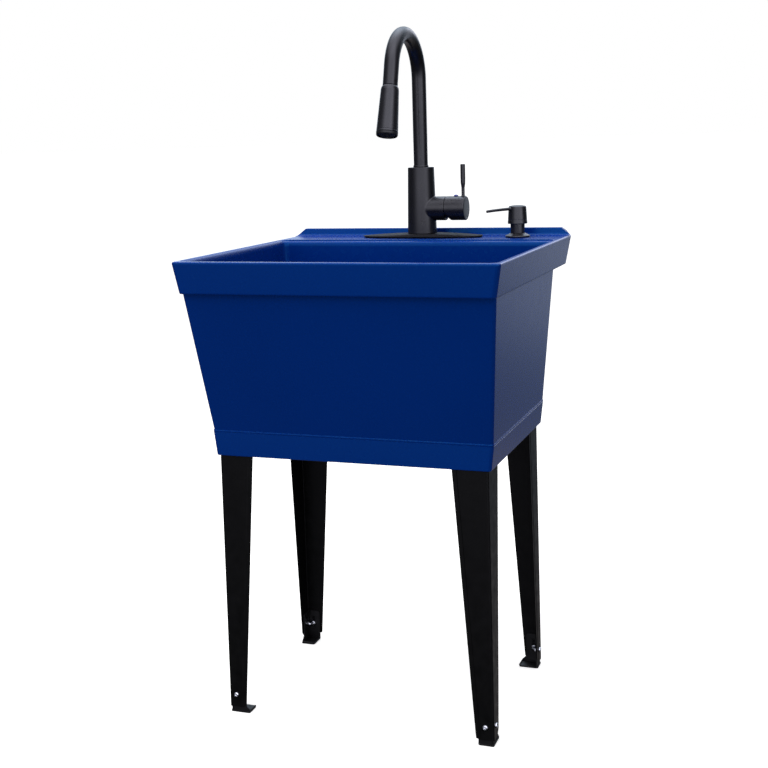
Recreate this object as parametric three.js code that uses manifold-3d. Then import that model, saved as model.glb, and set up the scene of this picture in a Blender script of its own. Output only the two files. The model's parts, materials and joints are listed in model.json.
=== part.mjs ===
// A floor-standing utility laundry sink: a moulded tub with a rear faucet deck
// on four tapered angle-section legs, with a pull-down gooseneck faucet and a
// deck soap dispenser.  Millimetres, +Z up.  The origin is on the floor under the
// middle of the tub; the front faces -Y and +X is the user's right.
import * as THREE from "three";
import { mergeVertices } from "three/addons/utils/BufferGeometryUtils.js";
import Module from "manifold-3d";

const wasm = await Module();
wasm.setup();

// ---------------------------------------------------------------- dimensions
const TUB_W = 581, // across the rim
  TUB_D = 562, // front to back over the apron
  RIM_Z = 847, // rim and deck height
  APRON_Z = 791, // lower edge of the apron
  BACK_Z = 862, // top of the upstand behind the deck
  BAND_Z = 540, // top of the plain band round the foot of the tub
  SKIRT_Z = 494, // lower edge of the tub
  FLOOR_Z = 552, // inside floor of the basin at its walls
  DRAIN_Z = 548, // inside floor at the drain
  UNDER_Z = 543, // underside of the basin floor
  DECK_T = 5, // deck thickness
  BASIN_REAR_Y = 165, // rear edge of the basin mouth, where the deck starts
  FAUCET_Y = 225.5, // faucet and dispenser line on the deck
  DISPENSER_X = 195,
  DRAIN_Y = -46;
const LEG_TOP = 542.2,
  LEG_BOTTOM = 11,
  LEG_T = 2,
  LEG_SPLAY = 5 / 464, // outward lean of each corner, both ways
  LEG_W30 = 34.3,
  LEG_TAPER = 30 / 464, // flange width gained per mm of height
  LEG_X30 = 254, // outer corner at z = 30
  LEG_YF30 = -220.5,
  LEG_YR30 = 150.5,
  FOOT_SCREW_Z = 35;
const BODY_R0 = 29,
  BODY_R1 = 26,
  BODY_H = 138.2, // faucet body above the deck
  HUB_H = 57,
  HUB_R = 23.6,
  HUB_END = 51,
  CAP_END = 92.5,
  TILT_X = 60, // tilt pin of the handle
  SPOUT_R = 14,
  SPOUT_BORE = 12,
  ARC_R = 81.5,
  ARC_Z = 306.5,
  ARC_DEG = 164,
  ARC_TAIL = 40,
  HEAD_L = 94;
const SEG = 28;

// ------------------------------------------------------------------- helpers
function solid(geometry, matrix) {
  let g = geometry.clone();
  for (const k of Object.keys(g.attributes))
    if (k !== "position") g.deleteAttribute(k);
  g.morphAttributes = {};
  if (matrix) g.applyMatrix4(matrix);
  g = mergeVertices(g, 1e-4);
  const tri = new Uint32Array(g.index.array);
  const make = (t) =>
    new wasm.Manifold(
      new wasm.Mesh({
        numProp: 3,
        vertProperties: new Float32Array(g.attributes.position.array),
        triVerts: t,
      }),
    );
  let m = make(tri);
  if (m.volume() < 0) {
    for (let i = 0; i < tri.length; i += 3)
      [tri[i + 1], tri[i + 2]] = [tri[i + 2], tri[i + 1]];
    m = make(tri);
  }
  return m;
}
function geometryOf(m) {
  const mesh = m.getMesh(),
    n = mesh.numProp,
    v = new Float32Array(mesh.numVert * 3);
  for (let i = 0; i < mesh.numVert; i++)
    v.set(mesh.vertProperties.subarray(i * n, i * n + 3), i * 3);
  const g = new THREE.BufferGeometry();
  g.setAttribute("position", new THREE.BufferAttribute(v, 3));
  g.setIndex(new THREE.BufferAttribute(new Uint32Array(mesh.triVerts), 1));
  g.computeVertexNormals();
  return g;
}
const join = (...list) => list.reduce((a, b) => a.add(b));
const cut = (a, ...list) => list.reduce((s, b) => s.subtract(b), a);
const M4 = () => new THREE.Matrix4();
const box = (x0, x1, y0, y1, z0, z1) =>
  solid(
    new THREE.BoxGeometry(x1 - x0, y1 - y0, z1 - z0),
    M4().makeTranslation((x0 + x1) / 2, (y0 + y1) / 2, (z0 + z1) / 2),
  );
// Turned solids: profile points are [radius, height].
function turned(points, n = SEG) {
  return solid(
    new THREE.LatheGeometry(
      points.map(([r, h]) => new THREE.Vector2(r, h)),
      n,
    ),
    M4().makeRotationX(Math.PI / 2),
  );
}
const ALONG_X = M4().makeRotationY(Math.PI / 2); // turns +Z onto +X
function turnedX(points, n = SEG) {
  const g = new THREE.LatheGeometry(
    points.map(([r, h]) => new THREE.Vector2(r, h)),
    n,
  );
  g.applyMatrix4(M4().makeRotationX(Math.PI / 2));
  return solid(g, ALONG_X);
}
const rod = (r, z0, z1, n = SEG, x = 0, y = 0) =>
  solid(
    new THREE.CylinderGeometry(r, r, z1 - z0, n),
    M4()
      .makeTranslation(x, y, (z0 + z1) / 2)
      .multiply(M4().makeRotationX(Math.PI / 2)),
  );
const rodX = (r, x0, x1, n = SEG, y = 0, z = 0) =>
  solid(
    new THREE.CylinderGeometry(r, r, x1 - x0, n),
    M4()
      .makeTranslation((x0 + x1) / 2, y, z)
      .multiply(M4().makeRotationZ(Math.PI / 2)),
  );
const rodY = (r, y0, y1, n = SEG, x = 0, z = 0) =>
  solid(
    new THREE.CylinderGeometry(r, r, y1 - y0, n),
    M4().makeTranslation(x, (y0 + y1) / 2, z),
  );
// A rounded rectangle at one height: x from -hx to hx, y from y0 to y1.
function ring(hx, y0, y1, r, z, n = 4, cx = 0) {
  const p = [];
  for (const [x, y, a] of [
    [cx + hx - r, y1 - r, 0],
    [cx - hx + r, y1 - r, 90],
    [cx - hx + r, y0 + r, 180],
    [cx + hx - r, y0 + r, 270],
  ])
    for (let i = 0; i <= n; i++) {
      const t = THREE.MathUtils.degToRad(a + (90 * i) / n);
      p.push([x + r * Math.cos(t), y + r * Math.sin(t), z]);
    }
  return p;
}
function oval(a, b, z, n = 36, e = 2.3) {
  const p = [];
  for (let i = 0; i < n; i++) {
    const t = (2 * Math.PI * i) / n,
      c = Math.cos(t),
      s = Math.sin(t);
    p.push([
      a * Math.sign(c) * Math.abs(c) ** (2 / e),
      b * Math.sign(s) * Math.abs(s) ** (2 / e),
      z,
    ]);
  }
  return p;
}
// A closed solid through rings of equal length; caps are fans from a middle
// point unless a triangle list for the cap is given.
function loft(rings, cap) {
  const n = rings[0].length,
    v = rings.flat(),
    f = [];
  for (let k = 0; k + 1 < rings.length; k++)
    for (let i = 0; i < n; i++) {
      const a = k * n + i,
        b = k * n + ((i + 1) % n),
        c = a + n,
        d = b + n;
      f.push([a, b, d], [a, d, c]);
    }
  const top = (rings.length - 1) * n;
  if (cap)
    for (const [a, b, c] of cap) {
      f.push([a, c, b]);
      f.push([top + a, top + b, top + c]);
    }
  else
    for (const [base, flip, r] of [
      [0, true, rings[0]],
      [top, false, rings[rings.length - 1]],
    ]) {
      const m = [0, 1, 2].map((k) => r.reduce((s, q) => s + q[k], 0) / n);
      const at = v.length;
      v.push(m);
      for (let i = 0; i < n; i++) {
        const a = base + i,
          b = base + ((i + 1) % n);
        f.push(flip ? [b, a, at] : [a, b, at]);
      }
    }
  const g = new THREE.BufferGeometry();
  g.setAttribute("position", new THREE.Float32BufferAttribute(v.flat(), 3));
  g.setIndex(f.flat());
  return solid(g);
}
const hexagon = (af, z0, z1) =>
  solid(
    new THREE.CylinderGeometry(af / Math.sqrt(3), af / Math.sqrt(3), z1 - z0, 6),
    M4()
      .makeTranslation(0, 0, (z0 + z1) / 2)
      .multiply(M4().makeRotationX(Math.PI / 2)),
  );
const moved = (m, matrix) => m.transform(matrix.elements);

// ----------------------------------------------------------------- materials
const mat = (color, roughness, metalness = 0) =>
  new THREE.MeshStandardMaterial({ color, roughness, metalness });
const BLUE = mat(0x01245f, 0.32),
  LEG_BLACK = mat(0x121213, 0.42, 0.3),
  FOOT_BLACK = mat(0x161617, 0.55),
  ZINC = mat(0xb9bcc0, 0.35, 1),
  MATT_BLACK = mat(0x202024, 0.45, 0.6),
  PLASTIC_BLACK = mat(0x17171a, 0.5),
  RUBBER = mat(0x1b1b1b, 0.9),
  BRASS = mat(0xa98b4a, 0.4, 1),
  STEEL = mat(0xb8babd, 0.3, 1),
  WHITE = mat(0xe6e6e2, 0.45),
  CLEAR = mat(0xdfe3e4, 0.3),
  INDEX_BLUE = mat(0x16246a, 0.3);

const sink = new THREE.Group();
function piece(name, m, material, parent = sink) {
  const mesh = new THREE.Mesh(geometryOf(m), material);
  mesh.name = name;
  parent.add(mesh);
  return mesh;
}

// ---------------------------------------------------------------------- legs
// One leg in its own frame: outer corner line through x = y = 0 at its foot,
// flanges along +x and +y, leaning inwards with height.
const CORNER_R = 2.5; // outside bend of the angle
function angle(z0, z1, t, w0, w1, grow = 0, inset = 0) {
  const at = (z, w) => {
    const s = LEG_SPLAY * (z - LEG_BOTTOM) + inset,
      a = s - grow,
      b = s + t + grow,
      c = w + grow,
      k = inset ? 0.6 : CORNER_R * 0.6;
    return [
      [a + k, a, z],
      [s - inset + c, a, z],
      [s - inset + c, b, z],
      [b, b, z],
      [b, s - inset + c, z],
      [a, s - inset + c, z],
      [a, a + k, z],
    ];
  };
  return loft(
    [at(z0, w0), at(z1, w1)],
    [
      [0, 1, 2],
      [0, 2, 3],
      [0, 3, 6],
      [6, 3, 4],
      [6, 4, 5],
    ],
  );
}
const legWidth = (z) => LEG_W30 + LEG_TAPER * (z - 30);
const faceAt = (z) => LEG_SPLAY * (z - LEG_BOTTOM);
const legSolid = cut(
  angle(LEG_BOTTOM, LEG_TOP, LEG_T, legWidth(LEG_BOTTOM), legWidth(LEG_TOP)),
  rodY(2.75, -2, 4, 12, 14, FOOT_SCREW_Z),
  rodX(2.75, -2, 4, 12, 16, FOOT_SCREW_Z),
);
const legSlot = angle(
  SKIRT_Z - 6,
  UNDER_Z + 0.4,
  LEG_T,
  legWidth(SKIRT_Z - 6),
  legWidth(UNDER_Z),
  0.45,
);
const SHIFT30 = LEG_SPLAY * (30 - LEG_BOTTOM);
const legFrames = {
  front_left: [-LEG_X30 - SHIFT30, LEG_YF30 - SHIFT30, 0],
  front_right: [LEG_X30 + SHIFT30, LEG_YF30 - SHIFT30, 90],
  rear_right: [LEG_X30 + SHIFT30, LEG_YR30 + SHIFT30, 180],
  rear_left: [-LEG_X30 - SHIFT30, LEG_YR30 + SHIFT30, 270],
};
const frameMatrix = ([x, y, deg]) =>
  M4()
    .makeTranslation(x, y, 0)
    .multiply(M4().makeRotationZ(THREE.MathUtils.degToRad(deg)));

// Levelling foot: a slotted angle bracket inside the leg on a base plate.
const BR_IN = LEG_T + 0.35,
  BR_T = 2.5;
let footSolid = join(
  angle(2, 62, BR_T, 27, 27.6, 0, BR_IN),
  box(0.6, 39.5, 0.6, 30, 0, 4),
  solid(
    new THREE.ExtrudeGeometry(
      new THREE.Shape([
        new THREE.Vector2(20, 3),
        new THREE.Vector2(39.2, 3),
        new THREE.Vector2(38, 6.5),
        new THREE.Vector2(32, 11),
        new THREE.Vector2(28, 22),
        new THREE.Vector2(20, 22),
      ]),
      { depth: BR_T - 0.4, bevelEnabled: false },
    ),
    M4()
      .makeTranslation(0, BR_IN + 0.3 + BR_T - 0.4, 0)
      .multiply(M4().makeRotationX(Math.PI / 2)),
  ),
);
const slotY = join(
  box(11.2, 16.8, 0, 9, 29, 47),
  rodY(2.8, 0, 9, 12, 14, 29),
  rodY(2.8, 0, 9, 12, 14, 47),
);
const slotX = join(
  box(0, 9, 13.2, 18.8, 29, 47),
  rodX(2.8, 0, 9, 12, 16, 29),
  rodX(2.8, 0, 9, 12, 16, 47),
);
footSolid = cut(footSolid, slotY, slotX);

// Pan-head machine screw along +z from its head face at z = 0.
const screwSolid = cut(
  turned(
    [
      [0, -3],
      [3.2, -3],
      [4.6, -1.9],
      [4.8, -0.05],
      [2.4, -0.05],
      [2.4, 12.6],
      [1.9, 13.1],
      [0, 13.1],
    ],
    14,
  ),
  box(-0.6, 0.6, -2.6, 2.6, -3.5, -1.8),
  box(-2.6, 2.6, -0.6, 0.6, -3.5, -1.8),
);
const nutSolid = cut(hexagon(8.2, 0, 4), rod(2.55, -1, 5, 14));

for (const [where, frame] of Object.entries(legFrames)) {
  const g = new THREE.Group();
  g.position.set(frame[0], frame[1], 0);
  g.rotation.z = THREE.MathUtils.degToRad(frame[2]);
  sink.add(g);
  piece("leg_" + where, legSolid, LEG_BLACK, g);
  piece("foot_" + where, footSolid, FOOT_BLACK, g);
  const face = faceAt(FOOT_SCREW_Z),
    seat = face + BR_IN + BR_T + 0.45;
  const s1 = piece("screw_a_" + where, screwSolid, ZINC, g);
  s1.position.set(14, face - 0.1, FOOT_SCREW_Z);
  s1.rotation.x = -Math.PI / 2;
  const n1 = piece("nut_a_" + where, nutSolid, ZINC, g);
  n1.position.set(14, seat, FOOT_SCREW_Z);
  n1.rotation.x = -Math.PI / 2;
  const s2 = piece("screw_b_" + where, screwSolid, ZINC, g);
  s2.position.set(face - 0.1, 16, FOOT_SCREW_Z);
  s2.rotation.y = Math.PI / 2;
  const n2 = piece("nut_b_" + where, nutSolid, ZINC, g);
  n2.position.set(seat, 16, FOOT_SCREW_Z);
  n2.rotation.y = Math.PI / 2;
}

// ----------------------------------------------------------------------- tub
{
  const W = TUB_W / 2,
    F = -TUB_D / 2,
    B = TUB_D / 2;
  const apron = loft([
    ring(W - 9.2, F + 5, B - 7.5, 8, APRON_Z),
    ring(W - 0.4, F + 0.4, B - 0.4, 8, RIM_Z - 4),
    ring(W - 1.2, F + 1.2, B - 1.2, 8, RIM_Z - 1.2),
    ring(W - 3.6, F + 3.6, B - 3.6, 7, RIM_Z),
  ]);
  const bodyOut = loft([
    ring(254.6, -219.5, 162, 6, SKIRT_Z),
    ring(259.6, -219.8, 162, 6.5, BAND_Z),
    ring(258.7, -218.9, 161.3, 6.5, BAND_Z + 1),
    ring(278.8, -267, 168, 7, APRON_Z - 2),
    ring(279.8, -268.4, 168.6, 7, RIM_Z - 6),
  ]);
  // upstand along the back edge, both ends chamfered
  let upstand = solid(
    new THREE.ExtrudeGeometry(
      new THREE.Shape(
        [
          [256, RIM_Z - 3],
          [260, RIM_Z - 0.1],
          [264, RIM_Z + 1.6],
          [266.5, RIM_Z + 4.5],
          [268, RIM_Z + 9],
          [269.6, BACK_Z - 2],
          [272.4, BACK_Z],
          [277, BACK_Z],
          [279.6, BACK_Z - 1.4],
          [280.6, BACK_Z - 4],
          [B - 0.4, RIM_Z - 3],
        ].map(([y, z]) => new THREE.Vector2(y, z)),
      ),
      { depth: TUB_W - 1.2, bevelEnabled: false },
    ),
    // shape x -> world y, shape y -> world z, depth -> world x
    new THREE.Matrix4().set(
      0, 0, 1, -TUB_W / 2 + 0.6,
      1, 0, 0, 0,
      0, 1, 0, 0,
      0, 0, 0, 1,
    ),
  );
  const wedge = (side) =>
    solid(
      new THREE.BoxGeometry(60, 60, 60),
      M4()
        .makeTranslation(side * (W - 0.5), 270, RIM_Z + 0.2)
        .multiply(M4().makeRotationY(side * 0.72))
        .multiply(M4().makeTranslation(0, 0, 30)),
    );
  upstand = cut(upstand, wedge(1), wedge(-1));
  const outer = join(apron, bodyOut, upstand);

  // inside of the one moulded wall, from the floor to the rolled rim
  const mouth = loft([
    ring(235, -199, 136.5, 10, FLOOR_Z - 0.6, 5),
    ring(245.4, -207.2, 147.3, 12, FLOOR_Z + 3, 5),
    ring(254.1, -216.7, 155.5, 13, FLOOR_Z + 11, 5),
    ring(257.9, -221.8, 158.5, 14, FLOOR_Z + 22, 5),
    ring(275, -263, 163.4, 13, APRON_Z, 5),
    ring(276.2, -264.6, 164, 12, RIM_Z - 12, 5),
    ring(277.2, -265.8, 164.8, 12.5, RIM_Z - 5, 5),
    ring(278.8, -267.4, 166.2, 13.5, RIM_Z - 1.6, 5),
    ring(281.6, -270.4, BASIN_REAR_Y + 4, 15, RIM_Z, 5),
    ring(282.3, -271.1, BASIN_REAR_Y + 4.6, 15, RIM_Z + 2, 5),
  ]);
  // open space under the basin floor, inside the foot of the tub
  const inside = loft([
    ring(251, -215.9, 158.4, 5, SKIRT_Z - 1),
    ring(255.1, -215.3, 157.7, 5, BAND_Z),
    ring(255.1, -215.3, 157.7, 5, UNDER_Z),
  ]);
  // under the rear deck, behind the body, open below
  const underDeck = loft([
    ring(277.4, 175, 269, 8, APRON_Z - 6),
    ring(282, 175, 273, 8, RIM_Z - DECK_T - 2),
    ring(280, 177, 271, 8, RIM_Z - DECK_T),
  ]);
  let tub = cut(outer, inside, underDeck);
  // pockets that hold the leg tops
  const pockets = [],
    slots = [];
  for (const frame of Object.values(legFrames)) {
    const m = frameMatrix(frame),
      s = faceAt(520),
      w = legWidth(UNDER_Z);
    pockets.push(
      moved(
        join(
          box(s - 9, s + w + 4.5, s - 9, s + LEG_T + 3.6, SKIRT_Z + 4, UNDER_Z + 5),
          box(s - 9, s + LEG_T + 3.6, s - 9, s + w + 4.5, SKIRT_Z + 4, UNDER_Z + 5),
        ),
        m,
      ),
    );
    slots.push(moved(legSlot, m));
  }
  const room = loft([
    ring(253.8, -218.7, 161.2, 5.5, SKIRT_Z),
    ring(258.6, -218.9, 161, 6, BAND_Z),
    ring(259, -219.5, 161, 6, UNDER_Z + 8),
  ]);
  const pocketBlock = join(...pockets).intersect(room);
  tub = cut(join(tub, pocketBlock), ...slots);
  // floor falls to the drain, then everything cut from above
  const fall = loft([
    ring(30, DRAIN_Y - 30, DRAIN_Y + 30, 29.9, DRAIN_Z - 0.2, 5),
    ring(236.5, -200.5, 138, 11, FLOOR_Z + 0.2, 5),
  ]);
  const drainSeat = turned([
    [0, UNDER_Z - 20],
    [25, UNDER_Z - 20],
    [25, UNDER_Z],
    [33.5, DRAIN_Z - 0.3],
    [46, DRAIN_Z - 0.3],
    [46, FLOOR_Z + 6],
    [0, FLOOR_Z + 6],
  ]).translate([0, DRAIN_Y, 0]);
  tub = cut(tub, mouth, fall, drainSeat);
  // deck holes
  tub = cut(
    tub,
    rod(17.5, RIM_Z - 20, RIM_Z + 5, SEG, 0, FAUCET_Y),
    rod(15, RIM_Z - 20, RIM_Z + 5, SEG, DISPENSER_X, FAUCET_Y),
  );
  piece("tub", tub, BLUE);
}

// --------------------------------------------------------------------- drain
{
  const g = new THREE.Group();
  g.position.set(0, DRAIN_Y, 0);
  sink.add(g);
  piece(
    "drain_flange",
    turned([
      [20.5, 500],
      [24, 500],
      [24, UNDER_Z],
      [32, DRAIN_Z],
      [42, DRAIN_Z],
      [43, DRAIN_Z + 1.2],
      [41, DRAIN_Z + 2.6],
      [30, DRAIN_Z + 2.2],
      [22.3, DRAIN_Z - 3],
      [20.5, DRAIN_Z - 10],
      [20.5, 500],
    ]),
    STEEL,
    g,
  );
  piece(
    "drain_gasket",
    turned([
      [24.4, UNDER_Z - 3.2],
      [38, UNDER_Z - 3.2],
      [38, UNDER_Z - 0.1],
      [24.4, UNDER_Z - 0.1],
      [24.4, UNDER_Z - 3.2],
    ]),
    RUBBER,
    g,
  );
  piece(
    "drain_locknut",
    cut(hexagon(68, 527, UNDER_Z - 3.4), rod(24.3, 520, UNDER_Z)),
    PLASTIC_BLACK,
    g,
  );
  const holes = [];
  for (let i = 0; i < 6; i++) {
    const t = (Math.PI * i) / 3;
    holes.push(rod(2.4, 520, 560, 8, 10.5 * Math.cos(t), 10.5 * Math.sin(t)));
  }
  piece(
    "drain_strainer",
    cut(
      turned([
        [0, 531],
        [18, 531],
        [19.8, 538],
        [21.7, DRAIN_Z - 2.9],
        [29.7, DRAIN_Z + 2.5],
        [29.7, DRAIN_Z + 4],
        [27, DRAIN_Z + 4],
        [19.8, DRAIN_Z - 1.5],
        [18, 538.4],
        [16.2, 533.4],
        [4, 533.4],
        [3, 536],
        [3, 548],
        [5.6, 551],
        [5.6, 554],
        [0, 555.4],
      ]),
      ...holes,
    ),
    STEEL,
    g,
  );
}

// -------------------------------------------------------------------- faucet
const faucet = new THREE.Group();
faucet.position.set(0, FAUCET_Y, RIM_Z);
sink.add(faucet);
{
  piece(
    "deck_plate_gasket",
    cut(loft([oval(122, 31, 0.15), oval(122, 31, 1.9)]), rod(16.4, -2, 5)),
    RUBBER,
    faucet,
  );
  piece(
    "deck_plate",
    cut(
      loft([
        oval(124.3, 33, 2.1),
        oval(124.8, 33.5, 3.2),
        oval(122.8, 33, 4.6),
        oval(116, 32, 6.2),
        oval(98.5, 30.6, 7.4),
        oval(60, 30, 8.2),
      ]),
      rod(16.2, -2, 12),
      // the seat under the body is faced flat
      rod(30.5, 8.0, 12),
    ),
    MATT_BLACK,
    faucet,
  );
  // body with its side hub
  const bodyShell = join(
    turned([
      [0, 8.2],
      [BODY_R0, 8.2],
      [BODY_R0, 10],
      [BODY_R1 + 0.1, BODY_H - 1.2],
      [BODY_R1 - 0.9, BODY_H],
      [0, BODY_H],
    ], 40),
    moved(
      turnedX([
        [0, 0],
        [HUB_R, 0],
        [HUB_R, HUB_END - 1],
        [HUB_R - 1, HUB_END],
        [0, HUB_END],
      ], 32),
      M4().makeTranslation(0, 0, HUB_H),
    ),
  );
  piece(
    "faucet_body",
    cut(
      bodyShell,
      rod(12.5, 0, BODY_H + 5, 24),
      rod(15.8, 0, 20, 24),
      rod(22.5, 24, 96, 24).intersect(box(-30, 11, -30, 30, 20, 100)),
      rod(17, 100, BODY_H + 5, 28),
      moved(rodX(17.5, 16, HUB_END + 5, 28), M4().makeTranslation(0, 0, HUB_H)),
    ),
    MATT_BLACK,
    faucet,
  );
  // handle line, all on the hub axis
  const hub = new THREE.Group();
  hub.position.set(0, 0, HUB_H);
  faucet.add(hub);
  piece(
    "cartridge",
    cut(
      turnedX([
        [0, 16.4],
        [17.2, 16.4],
        [17.2, 38],
        [12, 38],
        [12, 46],
        [0, 46],
      ], 24),
      rodX(7.2, 40, 50, 20),
    ),
    WHITE,
    hub,
  );
  piece(
    "cartridge_nut",
    turnedX([
      [12.3, 38.3],
      [17.2, 38.3],
      [17.2, 51.2],
      [20.5, 51.3],
      [19.6, 53.4],
      [16.5, 56.4],
      [12.6, 57.8],
      [12.3, 57.6],
      [12.3, 38.3],
    ], 28),
    MATT_BLACK,
    hub,
  );
  piece(
    "stem_turret",
    cut(
      join(
        rodX(6.9, 40.4, 52, 20),
        rodX(9.2, 47, 63.4, 20),
      ),
      box(50.4, 70, -4.4, 4.4, -12, 12),
      rodY(1.6, -12, 12, 12, TILT_X, 0),
    ),
    BRASS,
    hub,
  );
  piece("tilt_pin", rodY(1.45, -8.2, 8.2, 12, TILT_X, 0), STEEL, hub);
  piece(
    "valve_stem",
    cut(
      box(53.2, 77.4, -4.05, 4.05, -4, 4),
      rodY(1.7, -6, 6, 12, TILT_X, 0),
    ),
    STEEL,
    hub,
  );
  // handle cap, the foot of its inner end cut on a slant so that it can tip
  const slant = solid(
    new THREE.BoxGeometry(60, 60, 90),
    M4()
      .makeTranslation(56.95, 0, -13)
      .multiply(M4().makeRotationY(-Math.atan2(10.1, 20)))
      .multiply(M4().makeTranslation(-30, 0, 0)),
  );
  let cap = cut(
    turnedX([
      [0, 51.9],
      [HUB_R - 0.6, 51.9],
      [HUB_R, 52.5],
      [HUB_R, CAP_END - 1.4],
      [HUB_R - 1.2, CAP_END],
      [0, CAP_END],
    ], 36),
    turnedX([
      [0, 50],
      [20.8, 50],
      [20.8, 79.5],
      [0, 79.5],
    ], 28),
    slant,
  );
  cap = join(cap, rodX(10, 67.5, 80, 20));
  cap = cut(
    cap,
    box(60, 78, -4.3, 4.3, -4.3, 4.3),
    rod(2.6, 3, 12, 14, 71.5, 0),
    rod(3.1, 15, 30, 16, 71.5, 0),
    rod(3.45, 9.5, 30, 16, 86, 0),
  );
  piece("handle_cap", cap, MATT_BLACK, hub);
  piece("set_screw", rod(2.4, 4.15, 9.7, 12, 71.5, 0), STEEL, hub);
  const plug = piece(
    "index_plug",
    turned([
      [0, 19.4],
      [2.8, 19.4],
      [2.8, 23.75],
      [4.5, 23.75],
      [4.1, 25.2],
      [2.6, 26.2],
      [0, 26.6],
    ], 16),
    INDEX_BLUE,
    hub,
  );
  plug.position.x = 71.5;
  const lever = piece(
    "lever_rod",
    turned([
      [0, 10],
      [3.3, 10],
      [3.3, 41],
      [4.7, 49],
      [4.8, 84.2],
      [4.0, 85.7],
      [0, 85.7],
    ], 18),
    MATT_BLACK,
    hub,
  );
  lever.position.x = 86;

  // spout: riser, arc and the straight run to the spray head
  const tip = THREE.MathUtils.degToRad(ARC_DEG),
    endY = -ARC_R + ARC_R * Math.cos(tip),
    endZ = ARC_Z + ARC_R * Math.sin(tip),
    dy = -Math.sin(tip),
    dz = Math.cos(tip);
  class Gooseneck extends THREE.Curve {
    getPoint(t, target = new THREE.Vector3()) {
      const arc = ARC_R * tip,
        s = t * (arc + ARC_TAIL);
      if (s <= arc) {
        const a = s / ARC_R;
        return target.set(0, -ARC_R + ARC_R * Math.cos(a), ARC_Z + ARC_R * Math.sin(a));
      }
      return target.set(0, endY + dy * (s - arc), endZ + dz * (s - arc));
    }
  }
  const round = (r, n) => {
    const s = new THREE.Shape();
    for (let i = 0; i < n; i++) {
      const a = (2 * Math.PI * i) / n;
      s[i ? "lineTo" : "moveTo"](r * Math.cos(a), r * Math.sin(a));
    }
    return s;
  };
  const path = new Gooseneck();
  path.arcLengthDivisions = 400;
  const sweep = (r) =>
    solid(
      new THREE.ExtrudeGeometry(round(r, 20), {
        steps: 20,
        extrudePath: path,
        bevelEnabled: false,
      }),
    );
  piece(
    "spout_tube",
    cut(
      join(sweep(SPOUT_R), rod(SPOUT_R, 102, ARC_Z + 0.2, 20)),
      join(sweep(SPOUT_BORE), rod(SPOUT_BORE, 100, ARC_Z + 0.2, 20)),
      // the bore runs out of the far end
      moved(
        rod(SPOUT_BORE, -6, 3, 20),
        M4()
          .makeTranslation(0, endY + dy * ARC_TAIL, endZ + dz * ARC_TAIL)
          .multiply(M4().makeRotationX(Math.atan2(-dy, -dz) * -1)),
      ),
    ),
    MATT_BLACK,
    faucet,
  );
  piece(
    "spout_bush",
    turned([
      [14.3, 104],
      [16.8, 104],
      [16.8, BODY_H - 1.6],
      [14.3, BODY_H - 1.6],
      [14.3, 104],
    ], 24),
    WHITE,
    faucet,
  );
  piece(
    "spout_collar",
    turned([
      [14.15, BODY_H + 0.4],
      [15.1, BODY_H + 0.4],
      [15.1, BODY_H + 3.4],
      [14.7, BODY_H + 4],
      [14.15, BODY_H + 4],
      [14.15, BODY_H + 0.4],
    ], 24),
    MATT_BLACK,
    faucet,
  );
  // spray head frame: origin on the joint line, -z out of the spout
  const head = new THREE.Group();
  head.position.set(0, endY + dy * ARC_TAIL, endZ + dz * ARC_TAIL);
  head.rotation.x = -Math.atan2(-dy, -dz);
  faucet.add(head);
  piece(
    "spray_dock",
    turned([
      [9.2, 1],
      [11.75, 1],
      [11.75, 17],
      [9.2, 17],
      [9.2, 1],
    ], 20),
    PLASTIC_BLACK,
    head,
  );
  piece(
    "spray_head",
    cut(
      turned([
        [0, -0.4],
        [13.4, -0.4],
        [14.6, -1.2],
        [16.3, -4.4],
        [16.9, -8],
        [20.1, -86],
        [20.4, -90],
        [20.2, -92.6],
        [18.8, -HEAD_L],
        [17.2, -HEAD_L],
        [17.2, -84],
        [0, -84],
      ], 32),
      turned([
        [0, -9],
        [13.2, -9],
        [15.6, -80],
        [0, -80],
      ], 20),
      rod(6.3, -12, 2, 16),
      rod(8, -86, -78, 16),
      box(-5.3, 5.3, 10, 26, -52.3, -27.7),
    ),
    MATT_BLACK,
    head,
  );
  piece(
    "spray_face",
    turned([
      [0, -91.4],
      [13, -91.4],
      [16.4, -90.6],
      [16.9, -89.4],
      [16.9, -84.3],
      [0, -84.3],
    ], 24),
    PLASTIC_BLACK,
    head,
  );
  // toggle on the side that faces the riser
  piece(
    "spray_button",
    loft([
      ring(4.9, 14.4, 18.6, 0.6, -51.9, 2),
      ring(4.9, 14.4, 20.2, 0.8, -50, 2),
      ring(4.9, 14.4, 20.5, 0.8, -42, 2),
      ring(4.9, 14.4, 19.6, 0.8, -30, 2),
      ring(4.9, 14.4, 18.2, 0.6, -28.1, 2),
    ]),
    PLASTIC_BLACK,
    head,
  );
  piece(
    "hose_end",
    join(rod(6, -13, 45, 16), rod(9.4, -17.4, -9.6, 6)),
    STEEL,
    head,
  );

  // below the deck
  piece(
    "faucet_shank",
    turned([
      [12.6, -60],
      [15.4, -60],
      [15.4, 19.5],
      [12.6, 19.5],
      [12.6, -60],
    ], 24),
    BRASS,
    faucet,
  );
  piece(
    "faucet_washer",
    turned([
      [15.9, -DECK_T - 3.1],
      [29, -DECK_T - 3.1],
      [29, -DECK_T - 0.2],
      [15.9, -DECK_T - 0.2],
      [15.9, -DECK_T - 3.1],
    ], 24),
    STEEL,
    faucet,
  );
  piece(
    "faucet_nut",
    cut(hexagon(46, -20, -DECK_T - 3.3), rod(15.7, -30, 0, 24)),
    BRASS,
    faucet,
  );
}

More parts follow.
